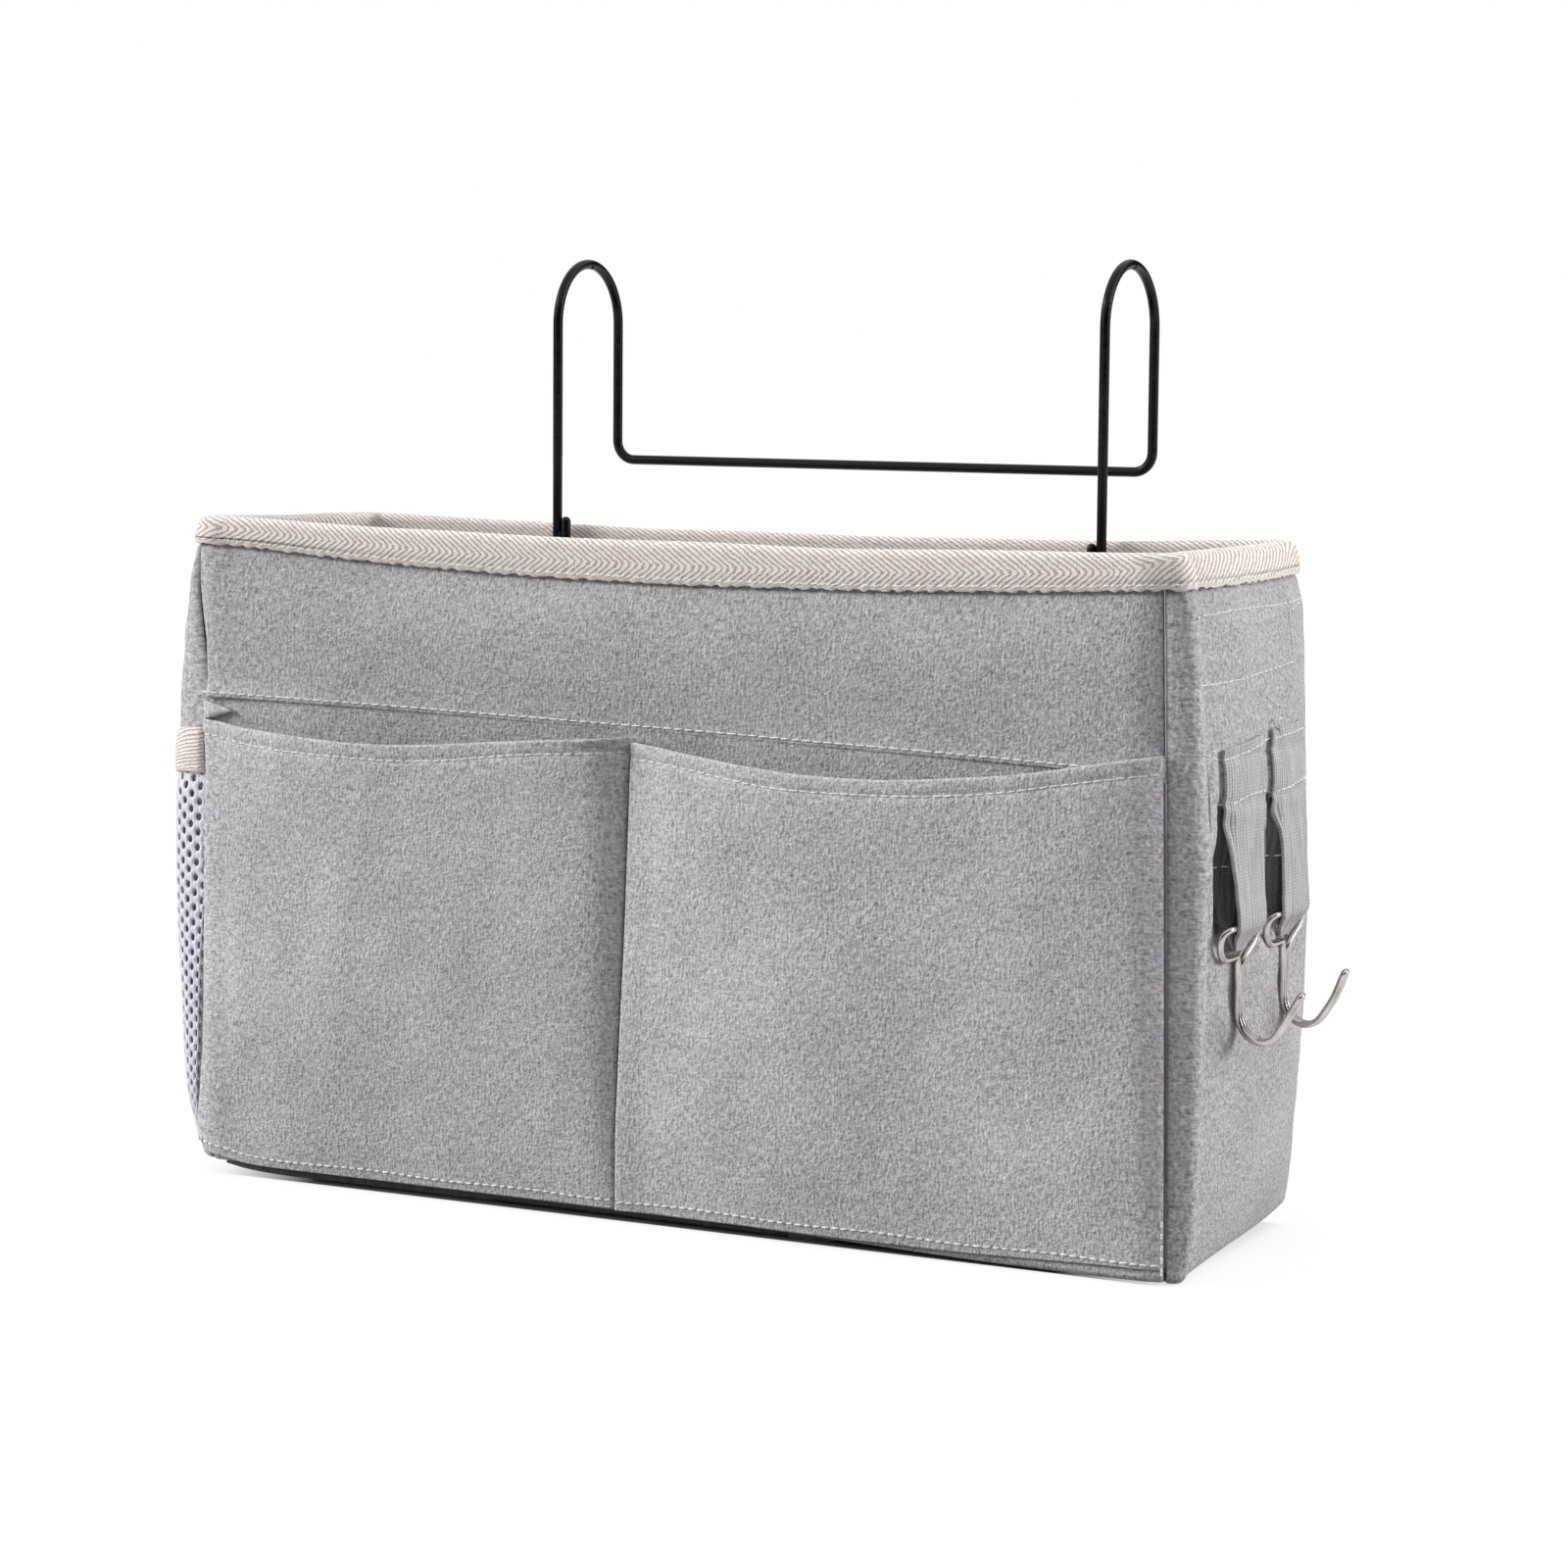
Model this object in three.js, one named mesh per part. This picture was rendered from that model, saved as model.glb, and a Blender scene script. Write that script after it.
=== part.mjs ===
// Bedside caddy: a soft canvas bag with two front pockets, a mesh side pocket, two webbing straps
// with double-wire hooks, and a bent wire hanger that goes over a bed rail.
// Millimetres. +X runs along the width, +Y back to the bed, +Z up. The origin is the middle of
// the base's underside.
import * as THREE from "three";

// Bag
const bagWidth = 320;
const bagDepth = 95;
const bagHeight = 200;
const frontCorner = 10; // plan radius of the two front corners
const backCorner = 6; // plan radius of the two back corners
const bottomRound = 4; // radius where the walls turn under the base
const leftSwell = 19; // how far each wall bellies out at half height
const rightSwell = 9;
const backSwell = 1.5;
const depthSwell = 5; // how much deeper the bag is at half height than at its rim

// Cloth layers, from the outside in, and the clearance between neighbours
const canvas = 0.8;
const felt = 1.6;
const lining = 0.5;
const tape = 0.8;
const thread = 0.5;
const clearance = 0.3;

// Rim binding: tape folded over the rim
const tapeFold = 10.5; // height that shows on the outside
const tapeWander = 1.7; // how far its lower edge strays from that
const stitchInset = 1.6; // from a tape's or panel's edge to its row of stitches

// Front seam and pockets
const seamHeight = 146; // at the left end
const seamDrop = 7; // how much lower the right end is
const pocketHeight = 138;
const pocketGap = 1.5; // between the two pockets
const dividerPlace = -13; // where the pockets meet, from the bag's middle
const mouthBow = 9; // how far a pocket's mouth stands off the bag
const hemDepth = 6; // from the mouth to the hem's stitches
const baseStitch = 6; // height of the stitches along the bottom

// Mesh pocket
const netBottom = 9;
const netTop = 128;
const netThick = 0.8;
const netBelly = 5.5; // how far it stands further off the side at the middle
const bandTop = 134;
const bandFold = 14;
const netColumns = 11;
const netRows = 13;

// Straps and their hooks, on the right side
const strapWidth = 24;
const loopPinch = 3; // the loop is this much narrower than the strap
const strapThick = 1;
const strapPlace = 29; // first strap's middle, from the front
const strapPitch = 31;
const strapTop = 147;
const strapRowTop = 143.5;
const strapRow = 131; // lower row of stitches, where the loop starts to swing
const barHeight = 97; // middle of the hook's bar
const loopBelly = 3; // how far the loop's front layer bows out
const hookWire = 1.4;
const hookWidth = 24; // middle to middle of the bar's corners
const bailDrop = 3.6; // straight length below each corner
const bailHeight = 10.5; // from the bar down to the stem
const stemLength = 15.5;
const throatReach = 8.5; // from the stem to the lowest point of the hook
const throatDrop = 6.2; // from the stem's foot to the lowest point
const armReach = 9.8; // from the lowest point out to the tip
const armRise = 12.6;
const bailBend = 1.5;
const throatBend = 7;

// Stitched patch high on the right side
const patchFront = 7; // from the bag's front
const patchBack = 68;
const patchTop = 183.5;
const patchBottom = 164;

// Wire hanger
const wire = 3;
const hangerSpan = 185.7; // between the two hooks' legs
const hangerShift = 7; // the hanger sits this far right of the bag's middle
const hangerReach = 38; // from the front legs to the back legs
const hangerTop = 279.5; // wire's middle at the top of each hook
const crossbarHeight = 217.5;
const legBend = 6;
const legFoot = 187;
const legPlay = 0.4; // between the legs and the rim binding
const frameBar = 183; // height of the lower frame's bar
const lapLeft = 205; // tops of the lower frame's ends
const lapRight = 196;
const channelRoom = 1; // round the bar, inside its channel
const channelInset = 9; // from the lower frame's leg to the channel's end

// Shares and counts that shape the curves
const frontSeamShare = 0.45;
const backSeamShare = 0.5;
const heightPower = 2.2;
const leftFrontPower = 7; // the higher, the blunter the swell is at that end
const rightFrontPower = 3.5;
const backPower = 3;
const sideShares = [0, 0.03, 0.09, 0.2, 0.38, 0.62, 0.8, 0.91, 0.97, 1];
const backShares = [0, 0.01, 0.04, 0.25, 0.5, 0.75, 0.96, 0.99, 1];
const frontShares = [0, 0.011, 0.021, 0.18, 0.34, 0.5, 0.66, 0.82, 0.979, 0.989, 1];
const pocketShares = [0.12, 0.22, 0.32, 0.44, 0.56, 0.68, 0.78, 0.88];
const levelShares = [0.03, 0.07, 0.15, 0.3, 0.5, 0.7, 0.84, 0.92, 0.95, 0.975];
const pocketLevelShares = [0.25, 0.5, 0.75, 1];
const seamStitchShare = 0.8; // the rest of that row is behind the right pocket
const leftMouthShares = [
  [0, 1.011],
  [0.1, 0.987],
  [0.3, 0.976],
  [0.54, 0.983],
  [0.78, 1.004],
  [1, 1.025],
];
const rightMouthShares = [
  [0, 1.014],
  [0.16, 0.988],
  [0.3, 0.976],
  [0.42, 0.972],
  [0.72, 0.997],
  [0.86, 1.025],
  [1, 1.056],
];
const holeShare = 0.3; // half a gap's size, of a cell
const strapShares = [0, 0.5, 1];
const bendSteps = 4; // per quarter turn of a bent wire
const wireSides = 8;
const hookSides = 6;
const quarterTurn = Math.PI / 2;

// Finishes
function finish(colour, roughness, metalness = 0) {
  return new THREE.MeshStandardMaterial({ color: colour, roughness, metalness });
}
const greyCanvas = finish(0xb4b1b4, 0.95);
const greyFelt = finish(0x8d8b8c, 1);
const greyLining = finish(0xa3a1a2, 0.9);
const creamTape = finish(0xe3dad3, 0.9);
const whiteThread = finish(0xeeeeee, 0.8);
const lilacMesh = finish(0xcfcdd9, 0.8);
const greyWebbing = finish(0xb7b4b8, 0.9);
const blackWire = finish(0x111111, 0.3);
const nickelWire = finish(0xcbc8c4, 0.25, 1);

const caddy = new THREE.Group();

// Adds one closed mesh from its corners and triangles, with its faces turned outwards.
function addSolid(name, material, corners, triangles) {
  const [a, b, c] = [new THREE.Vector3(), new THREE.Vector3(), new THREE.Vector3()];
  let volume = 0;
  for (const [i, j, k] of triangles) {
    volume += a.copy(corners[i]).dot(b.copy(corners[j]).cross(c.copy(corners[k])));
  }
  const faces = volume < 0 ? triangles.map(([i, j, k]) => [i, k, j]) : triangles;
  const geometry = new THREE.BufferGeometry().setFromPoints(corners);
  geometry.setIndex(faces.flat());
  geometry.computeVertexNormals();
  addMesh(name, material, geometry);
}

function addMesh(name, material, geometry) {
  const mesh = new THREE.Mesh(geometry, material);
  mesh.name = name;
  caddy.add(mesh);
  return mesh;
}

// Walk round the bag, measured along its rim from the middle of the front towards +X
const frontHalf = bagWidth / 2 - frontCorner;
const frontArc = frontCorner * quarterTurn;
const sideStraight = bagDepth - frontCorner - backCorner;
const backArc = backCorner * quarterTurn;
const backHalf = bagWidth / 2 - backCorner;
const sideStart = frontHalf + frontArc;
const halfWalk = sideStart + sideStraight + backArc + backHalf;
const frontSeam = frontHalf + frontArc * frontSeamShare;
const backSeam = sideStart + sideStraight + backArc * backSeamShare;

const seams = [frontSeam, backSeam, 2 * halfWalk - backSeam, -frontSeam, -backSeam];

function heightShape(z) {
  const level = Math.min(1, Math.abs((2 * z) / bagHeight - 1));
  return (1 - level ** heightPower) ** (1 / heightPower);
}

function swellShape(share, frontPower) {
  return 1 - Math.abs(2 * share - 1) ** (share < 0.5 ? frontPower : backPower);
}

// Outer face of the bag at a place on the walk and a height
function outline(place, z) {
  let walk = place;
  if (walk > halfWalk) walk -= 2 * halfWalk;
  if (walk < -halfWalk) walk += 2 * halfWalk;
  const side = walk < 0 ? -1 : 1;
  const along = Math.abs(walk);
  let x = along;
  let y = 0;
  if (along > sideStart + sideStraight + backArc) {
    x = backHalf - (along - sideStart - sideStraight - backArc);
    y = bagDepth;
  } else if (along > sideStart + sideStraight) {
    const turn = (along - sideStart - sideStraight) / backCorner;
    x = backHalf + backCorner * Math.cos(turn);
    y = bagDepth - backCorner + backCorner * Math.sin(turn);
  } else if (along > sideStart) {
    x = bagWidth / 2;
    y = frontCorner + along - sideStart;
  } else if (along > frontHalf) {
    const turn = (along - frontHalf) / frontCorner;
    x = frontHalf + frontCorner * Math.sin(turn);
    y = frontCorner * (1 - Math.cos(turn));
  }
  const full = heightShape(z);
  if (along > backSeam) {
    const share = (along - backSeam) / (2 * (halfWalk - backSeam));
    y += backSwell * full * swellShape(share, backPower);
  } else if (along > frontSeam) {
    const share = (along - frontSeam) / (backSeam - frontSeam);
    const swell = side < 0 ? leftSwell : rightSwell;
    x += swell * full * swellShape(share, side < 0 ? leftFrontPower : rightFrontPower);
  }
  y *= 1 + (depthSwell / bagDepth) * full;
  return new THREE.Vector2(side * x, y - bagDepth / 2);
}

// The same, moved inwards by a distance that is level; below bottomRound the wall turns under
function place(walk, z, inward) {
  const step = clearance;
  const middle = seams.find((seam) => Math.abs(seam - walk) < step) ?? walk;
  const run = outline(middle + step, z).sub(outline(middle - step, z)).normalize();
  const lift = Math.max(0, bottomRound - z);
  const tuck = bottomRound - Math.sqrt(bottomRound ** 2 - Math.min(lift, bottomRound) ** 2);
  const at = outline(walk, z);
  const depth = inward + tuck;
  return new THREE.Vector3(at.x - run.y * depth, at.y + run.x * depth, z);
}

function spread(from, to, shares) {
  return shares.map((share) => from + (to - from) * share);
}

// Value at a share along a table of [share, value] pairs
function readTable(table, share) {
  const last = table.length - 1;
  let i = 0;
  while (i < last - 1 && share > table[i + 1][0]) i += 1;
  const [from, low] = table[i];
  const [to, high] = table[i + 1];
  return low + (high - low) * ((share - from) / (to - from));
}

// Solid whose section, a list of [inward, z] corners at each stop, is carried along the walk.
// The second half of a section runs back beside its first half, so an end closes as a strip.
function sweep(name, material, stops, sectionAt, closed = false) {
  const rings = stops.map((stop) => sectionAt(stop).map(([inward, z]) => place(stop, z, inward)));
  const size = rings[0].length;
  const corners = rings.flat();
  const triangles = [];
  const spans = closed ? rings.length : rings.length - 1;
  for (let k = 0; k < spans; k += 1) {
    const near = k * size;
    const far = ((k + 1) % rings.length) * size;
    for (let i = 0; i < size; i += 1) {
      const next = (i + 1) % size;
      // Every face is split the same way, so that sheets that lie against each other stay clear
      if (corners[near + next].z < corners[near + i].z) {
        triangles.push([near + i, far + i, near + next], [far + i, far + next, near + next]);
      } else {
        triangles.push([near + i, far + i, far + next], [near + i, far + next, near + next]);
      }
    }
  }
  if (!closed) {
    const last = corners.length - size;
    for (let i = 0; i < size / 2 - 1; i += 1) {
      const [a, b, c, d] = [i, i + 1, size - 2 - i, size - 1 - i];
      triangles.push([a, b, c], [a, c, d]);
      triangles.push([last + a, last + c, last + b], [last + a, last + d, last + c]);
    }
  }
  addSolid(name, material, corners, triangles);
}

// Section of a sheet between two heights, with its outer and inner faces
function sheetSection(levels, outer, inner) {
  const up = levels.map((z) => [outer(z), z]);
  const down = [...levels].reverse().map((z) => [inner(z), z]);
  return [...up, ...down];
}

// Walls, base and their two inner layers
const wallTop = bagHeight - tape - clearance;
const layers = [
  { part: "panel", material: greyCanvas, from: 0, thick: canvas },
  { part: "interlining", material: greyFelt, from: canvas + clearance, thick: felt },
  { part: "lining", material: greyLining, from: canvas + felt + 2 * clearance, thick: lining },
];
const wallThick = canvas + felt + lining + 2 * clearance;

const seamAt = (walk) => {
  const share = (walk + frontSeam) / (2 * frontSeam);
  return seamHeight - seamDrop * share ** 2;
};

const feet = layers.map((layer) => layer.from + layer.thick + clearance);
const levels = [...feet, ...levelShares.map((share) => bagHeight * share), wallTop];
const seamGap = clearance / 2;
const rightStops = spread(frontSeam + seamGap, backSeam - seamGap, sideShares);
const leftStops = rightStops.map((walk) => -walk).reverse();
const backStops = spread(backSeam + seamGap, 2 * halfWalk - backSeam - seamGap, backShares);
const frontStops = spread(seamGap - frontSeam, frontSeam - seamGap, frontShares);
const rimStops = [...rightStops, ...backStops, ...leftStops, ...frontStops];

// Stops from one place to another: the wall's own ones between them, and any extra shares
function stopsAlong(from, to, shares = []) {
  const own = rimStops.filter((walk) => walk > from + seamGap && walk < to - seamGap);
  return [from, ...own, ...spread(from, to, shares), to].sort((a, b) => a - b);
}

layers.forEach((layer, index) => {
  const foot = feet[index];
  const outer = () => layer.from;
  const inner = () => layer.from + layer.thick;
  const rows = levels.filter((z) => z >= foot);
  const wall = (name, stops, heights) =>
    sweep(name, layer.material, stops, (walk) => sheetSection(heights(walk), outer, inner));
  wall("left_side_" + layer.part, leftStops, () => rows);
  wall("right_side_" + layer.part, rightStops, () => rows);
  wall("back_" + layer.part, backStops, () => rows);
  if (index) {
    wall("front_" + layer.part, frontStops, () => [...feet.slice(index), wallTop]);
  } else {
    wall("front_lower_panel", frontStops, (walk) => [...feet, seamAt(walk) - seamGap]);
    wall("front_upper_panel", frontStops, (walk) => [seamAt(walk) + seamGap, wallTop]);
  }
  const edge = rimStops.map((walk) => place(walk, index ? layer.from : foot, layer.from));
  const floor = new THREE.Shape(edge.map((at) => new THREE.Vector2(at.x, at.y)));
  const slab = new THREE.ExtrudeGeometry(floor, { depth: layer.thick, bevelEnabled: false });
  addMesh("base_" + layer.part, layer.material, slab).position.z = layer.from;
});

// Rim binding and its stitches
function tapeLow(walk) {
  const share = Math.min(1, Math.abs(walk > halfWalk ? walk - 2 * halfWalk : walk) / frontSeam);
  return bagHeight - tapeFold - tapeWander * Math.cos(Math.PI * share);
}

const upperLevels = levels.filter((z) => z > bagHeight - tapeFold + tapeWander);
sweep(
  "rim_binding",
  creamTape,
  rimStops,
  (walk) => {
    const low = tapeLow(walk);
    const out = -clearance;
    const into = wallThick + clearance;
    return [
      ...[low, ...upperLevels, bagHeight].map((z) => [out - tape, z]),
      ...[bagHeight, ...[...upperLevels].reverse(), low].map((z) => [into + tape, z]),
      ...[low, ...upperLevels.slice(0, -1), bagHeight - tape].map((z) => [into, z]),
      ...[bagHeight - tape, ...upperLevels.slice(0, -1).reverse(), low].map((z) => [out, z]),
    ];
  },
  true,
);

// A row of stitches lying on a face, as one thin strip
function stitchRow(name, stops, faceAt, heightAt, closed = false) {
  sweep(
    name,
    whiteThread,
    stops,
    (walk) => {
      const z = heightAt(walk);
      const top = faceAt(walk, z) + clearance;
      return [
        [-top - thread, z],
        [-top - thread, z + thread],
        [-top, z + thread],
        [-top, z],
      ];
    },
    closed,
  );
}

const tapeFace = () => clearance + tape;
stitchRow("rim_stitching", rimStops, tapeFace, (walk) => tapeLow(walk) + stitchInset, true);
stitchRow(
  "front_seam_stitching",
  stopsAlong(clearance - frontSeam, frontSeam * (2 * seamStitchShare - 1)),
  () => 0,
  (walk) => seamAt(walk) + stitchInset,
);

// Front pockets, whose mouths bow out
const pockets = [
  { name: "left_pocket", from: -frontSeam + clearance, to: dividerPlace - pocketGap, mouth: leftMouthShares },
  { name: "right_pocket", from: dividerPlace, to: frontSeam - clearance, mouth: rightMouthShares },
];
const pocketFoot = canvas + clearance;

for (const pocket of pockets) {
  const shareAt = (walk) => (walk - pocket.from) / (pocket.to - pocket.from);
  const mouthAt = (walk) => pocketHeight * readTable(pocket.mouth, shareAt(walk));
  const standOff = (walk, z) => {
    const across = Math.sin(Math.PI * shareAt(walk));
    return clearance + mouthBow * across * ((z - pocketFoot) / (mouthAt(walk) - pocketFoot));
  };
  const stops = stopsAlong(pocket.from, pocket.to, pocketShares);
  sweep(pocket.name, greyCanvas, stops, (walk) =>
    sheetSection(
      [...feet, ...pocketLevelShares.map((share) => mouthAt(walk) * share)],
      (z) => -standOff(walk, z) - canvas,
      (z) => -standOff(walk, z),
    ),
  );
  const face = (walk, z) => standOff(walk, z) + canvas;
  stitchRow(pocket.name + "_hem_stitching", stops, face, (walk) => mouthAt(walk) - hemDepth);
  stitchRow(pocket.name + "_base_stitching", stops, face, () => baseStitch);
}

// Mesh pocket on the left side: a net with staggered gaps, bound with folded tape
const bandRoom = 2 * clearance; // between the net and each fold of its binding
const netStandOff = bandRoom + tape + clearance;

function netGap(walk, z) {
  const across = (-walk - frontSeam) / (backSeam - frontSeam);
  const up = Math.min(1, Math.max(0, (z - netBottom) / (bandTop - netBottom)));
  const rise = Math.sin(quarterTurn * Math.min(1, up * 3));
  return netStandOff + netBelly * Math.sin(Math.PI * across) ** 2 * rise;
}

function addNet() {
  const from = -backSeam + clearance;
  const to = -frontSeam - clearance;
  const halves = 2 * netColumns;
  const corners = [];
  const triangles = [];
  const lines = [];
  // One corner on each face, returned as [outer, inner]
  const pin = (column, row) => {
    const walk = from + ((to - from) * column) / halves;
    const z = netBottom + ((netTop - netBottom) * row) / netRows;
    const gap = netGap(walk, z);
    corners.push(place(walk, z, -gap - netThick), place(walk, z, -gap));
    return [corners.length - 2, corners.length - 1];
  };
  const bothFaces = (a, b, c) => {
    triangles.push([a[0], b[0], c[0]], [a[1], c[1], b[1]]);
  };
  const wall = (a, b) => {
    triangles.push([a[0], a[1], b[1]], [a[0], b[1], b[0]]);
  };
  for (let row = 0; row <= netRows; row += 1) {
    lines.push(Array.from({ length: halves + 1 }, (_, column) => pin(column, row)));
  }
  for (let row = 0; row < netRows; row += 1) {
    const [low, high] = [lines[row], lines[row + 1]];
    const shift = row % 2;
    for (let c = shift; c + 2 <= halves; c += 2) {
      const middle = row + 1 / 2;
      const bottom = pin(c + 1, middle - holeShare);
      const right = pin(c + 1 + 2 * holeShare, middle);
      const top = pin(c + 1, middle + holeShare);
      const left = pin(c + 1 - 2 * holeShare, middle);
      bothFaces(low[c], low[c + 1], bottom);
      bothFaces(low[c + 1], low[c + 2], bottom);
      bothFaces(low[c + 2], right, bottom);
      bothFaces(low[c + 2], high[c + 2], right);
      bothFaces(high[c + 2], top, right);
      bothFaces(high[c + 2], high[c + 1], top);
      bothFaces(high[c + 1], high[c], top);
      bothFaces(high[c], left, top);
      bothFaces(high[c], low[c], left);
      bothFaces(low[c], bottom, left);
      wall(right, bottom);
      wall(top, right);
      wall(left, top);
      wall(bottom, left);
    }
    if (shift) {
      for (const c of [0, halves - 1]) {
        bothFaces(low[c], low[c + 1], high[c + 1]);
        bothFaces(low[c], high[c + 1], high[c]);
      }
    }
    wall(low[halves], high[halves]);
    wall(high[0], low[0]);
  }
  for (let c = 0; c < halves; c += 1) {
    wall(lines[0][c], lines[0][c + 1]);
    wall(lines[netRows][c + 1], lines[netRows][c]);
  }
  addSolid("mesh_pocket_net", lilacMesh, corners, triangles);
}
addNet();

const netShares = Array.from({ length: 2 * netColumns + 1 }, (_, column) => column / (2 * netColumns));
const netStops = spread(clearance - backSeam, -frontSeam - clearance, netShares);
sweep("mesh_pocket_binding", creamTape, netStops, (walk) => {
  const low = bandTop - bandFold;
  const slotTop = bandTop - tape;
  const inside = (z) => -netGap(walk, z) + bandRoom;
  const outside = (z) => -netGap(walk, z) - netThick - bandRoom;
  return [
    [outside(low) - tape, low],
    [outside(bandTop) - tape, bandTop],
    [inside(bandTop) + tape, bandTop],
    [inside(low) + tape, low],
    [inside(low), low],
    [inside(slotTop), slotTop],
    [outside(slotTop), slotTop],
    [outside(low), low],
  ];
});
stitchRow(
  "mesh_binding_stitching",
  netStops,
  (walk, z) => netGap(walk, z) + netThick + bandRoom + tape,
  () => bandTop - bandFold + stitchInset,
);

// Patch inside the right wall, and the two long rows of stitches that hold it
const walkAt = (fromFront) => sideStart + fromFront - frontCorner;
const patchStops = stopsAlong(walkAt(patchFront), walkAt(patchBack));
const patchSeat = wallThick + 2 * clearance;
const patchLow = patchBottom - stitchInset;
const patchHigh = patchTop + stitchInset;
sweep("inner_side_patch", greyWebbing, patchStops, () =>
  sheetSection(
    [patchLow, ...levels.filter((z) => z > patchLow && z < patchHigh), patchHigh],
    () => patchSeat,
    () => patchSeat + strapThick,
  ),
);
stitchRow("patch_top_stitching", patchStops, () => 0, () => patchTop);
stitchRow("patch_bottom_stitching", patchStops, () => 0, () => patchBottom);

// A bent wire: straight runs joined by round bends, as a curve whose stops are its own points
class BentWire extends THREE.Curve {
  constructor(points) {
    super();
    this.points = points;
  }

  getPointAt(share) {
    const last = this.points.length - 1;
    const i = Math.min(last, Math.round(share * last));
    return this.points[i].clone();
  }

  getTangentAt(share) {
    const last = this.points.length - 1;
    const i = Math.min(last, Math.round(share * last));
    const before = this.points[Math.max(0, i - 1)];
    const after = this.points[Math.min(last, i + 1)];
    return after.clone().sub(before).normalize();
  }
}

// Rounds every inner corner of a list of {at, bend} to its bend radius
function roundCorners(route) {
  const points = [route[0].at];
  for (let i = 1; i < route.length - 1; i += 1) {
    const corner = route[i].at;
    const back = route[i - 1].at.clone().sub(corner).normalize();
    const on = route[i + 1].at.clone().sub(corner).normalize();
    const opening = back.angleTo(on);
    const turn = Math.PI - opening;
    const reach = route[i].bend / Math.tan(opening / 2);
    const start = corner.clone().addScaledVector(back, reach);
    const inwards = back.clone().add(on).normalize();
    const centre = corner.clone().addScaledVector(inwards, route[i].bend / Math.sin(opening / 2));
    const arm = start.clone().sub(centre);
    const axis = back.clone().cross(on).normalize();
    const steps = Math.max(2, Math.round((turn / quarterTurn) * bendSteps));
    for (let k = 0; k <= steps; k += 1) {
      const swung = arm.clone().applyAxisAngle(axis, (-turn * k) / steps);
      points.push(swung.add(centre));
    }
  }
  points.push(route[route.length - 1].at);
  return points;
}

function addWire(name, material, route, thick, sides) {
  const points = roundCorners(route);
  const ring = new THREE.Shape();
  for (let i = 0; i < sides; i += 1) {
    const turn = (2 * Math.PI * i) / sides;
    const at = [(thick / 2) * Math.cos(turn), (thick / 2) * Math.sin(turn)];
    if (i) ring.lineTo(...at);
    else ring.moveTo(...at);
  }
  const geometry = new THREE.ExtrudeGeometry(ring, {
    steps: points.length - 1,
    extrudePath: new BentWire(points),
    bevelEnabled: false,
  });
  addMesh(name, material, geometry);
}

const at = (x, y, z, bend = 0) => ({ at: new THREE.Vector3(x, y, z), bend });

// Straps: a sewn upper end on the wall, and a free loop that swings from the lower stitches
for (const number of [1, 2]) {
  const middle = walkAt(strapPlace + strapPitch * (number - 1));
  const wide = strapWidth / 2;
  const ends = stopsAlong(middle - wide, middle + wide);
  sweep("strap_" + number + "_sewn_end", greyWebbing, ends, () =>
    sheetSection(
      spread(strapRow, strapTop, strapShares),
      () => -clearance - 2 * strapThick,
      () => -clearance,
    ),
  );
  // The loop and the hook stand in planes square to Y, clear of the wall over their whole width
  const face = Math.max(...ends.map((walk) => outline(walk, barHeight).x));
  const back = face + clearance;
  const barX = back + strapThick + hookWire / 2 + clearance;
  const front = barX + hookWire / 2 + clearance;
  const turnRadius = hookWire / 2 + clearance;
  const top = strapRow - clearance;
  const outside = front + strapThick;
  const profile = new THREE.Shape();
  profile.moveTo(back, top);
  profile.lineTo(back, barHeight);
  profile.absarc(barX, barHeight, turnRadius + strapThick, Math.PI, 2 * Math.PI, false);
  const belly = (top + barHeight) / 2;
  profile.quadraticCurveTo(outside + 2 * loopBelly, belly, back + 2 * strapThick + clearance, top);
  profile.lineTo(back + strapThick + clearance, top);
  profile.quadraticCurveTo(front + 2 * loopBelly, belly, front, barHeight);
  profile.absarc(barX, barHeight, turnRadius, 2 * Math.PI, Math.PI, true);
  profile.lineTo(back + strapThick, top);
  const loopWidth = strapWidth - loopPinch;
  const loop = new THREE.ExtrudeGeometry(profile, {
    depth: loopWidth,
    bevelEnabled: false,
    curveSegments: 8,
  });
  loop.rotateX(quarterTurn);
  const middleY = (outline(middle, barHeight).y + outline(middle, strapRow).y) / 2;
  addMesh("strap_" + number + "_loop", greyWebbing, loop).position.y = middleY + loopWidth / 2;

  // Hook: one wire doubled back on itself, spread at the top into a bail round the strap's loop
  const strand = hookWire / 2 + clearance / 4;
  const side = hookWidth / 2;
  const stemX = face + clearance + hookWire / 2;
  const stemTop = barHeight - bailHeight;
  const stemFoot = stemTop - stemLength;
  const low = [stemX + throatReach, stemFoot - throatDrop];
  const tip = [low[0] + armReach, low[1] + armRise];
  const dropX = barX + ((stemX - barX) * bailDrop) / bailHeight;
  const strandRoute = (sign) => [
    at(dropX, middleY + sign * side, barHeight - bailDrop, bailBend),
    at(stemX, middleY + sign * strand, stemTop, bailBend),
    at(stemX, middleY + sign * strand, stemFoot - throatDrop / 2, throatBend),
    at(low[0], middleY + sign * strand, low[1], throatBend / 2),
    at(tip[0], middleY + sign * strand, tip[1], strand - clearance / 8),
  ];
  addWire(
    "hook_" + number,
    nickelWire,
    [
      at(barX, middleY - side, barHeight - hookWire),
      ...strandRoute(-1),
      ...strandRoute(1).reverse(),
      at(barX, middleY + side, barHeight, bailBend),
      at(barX, middleY - side, barHeight),
    ],
    hookWire,
    hookSides,
  );
}
const rowStops = stopsAlong(
  walkAt(strapPlace) - strapWidth / 2,
  walkAt(strapPlace + strapPitch) + strapWidth / 2,
);
const strapFace = () => clearance + 2 * strapThick;
stitchRow("strap_upper_stitching", rowStops, strapFace, () => strapRowTop);
stitchRow("strap_lower_stitching", rowStops, strapFace, () => strapRow);

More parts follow.
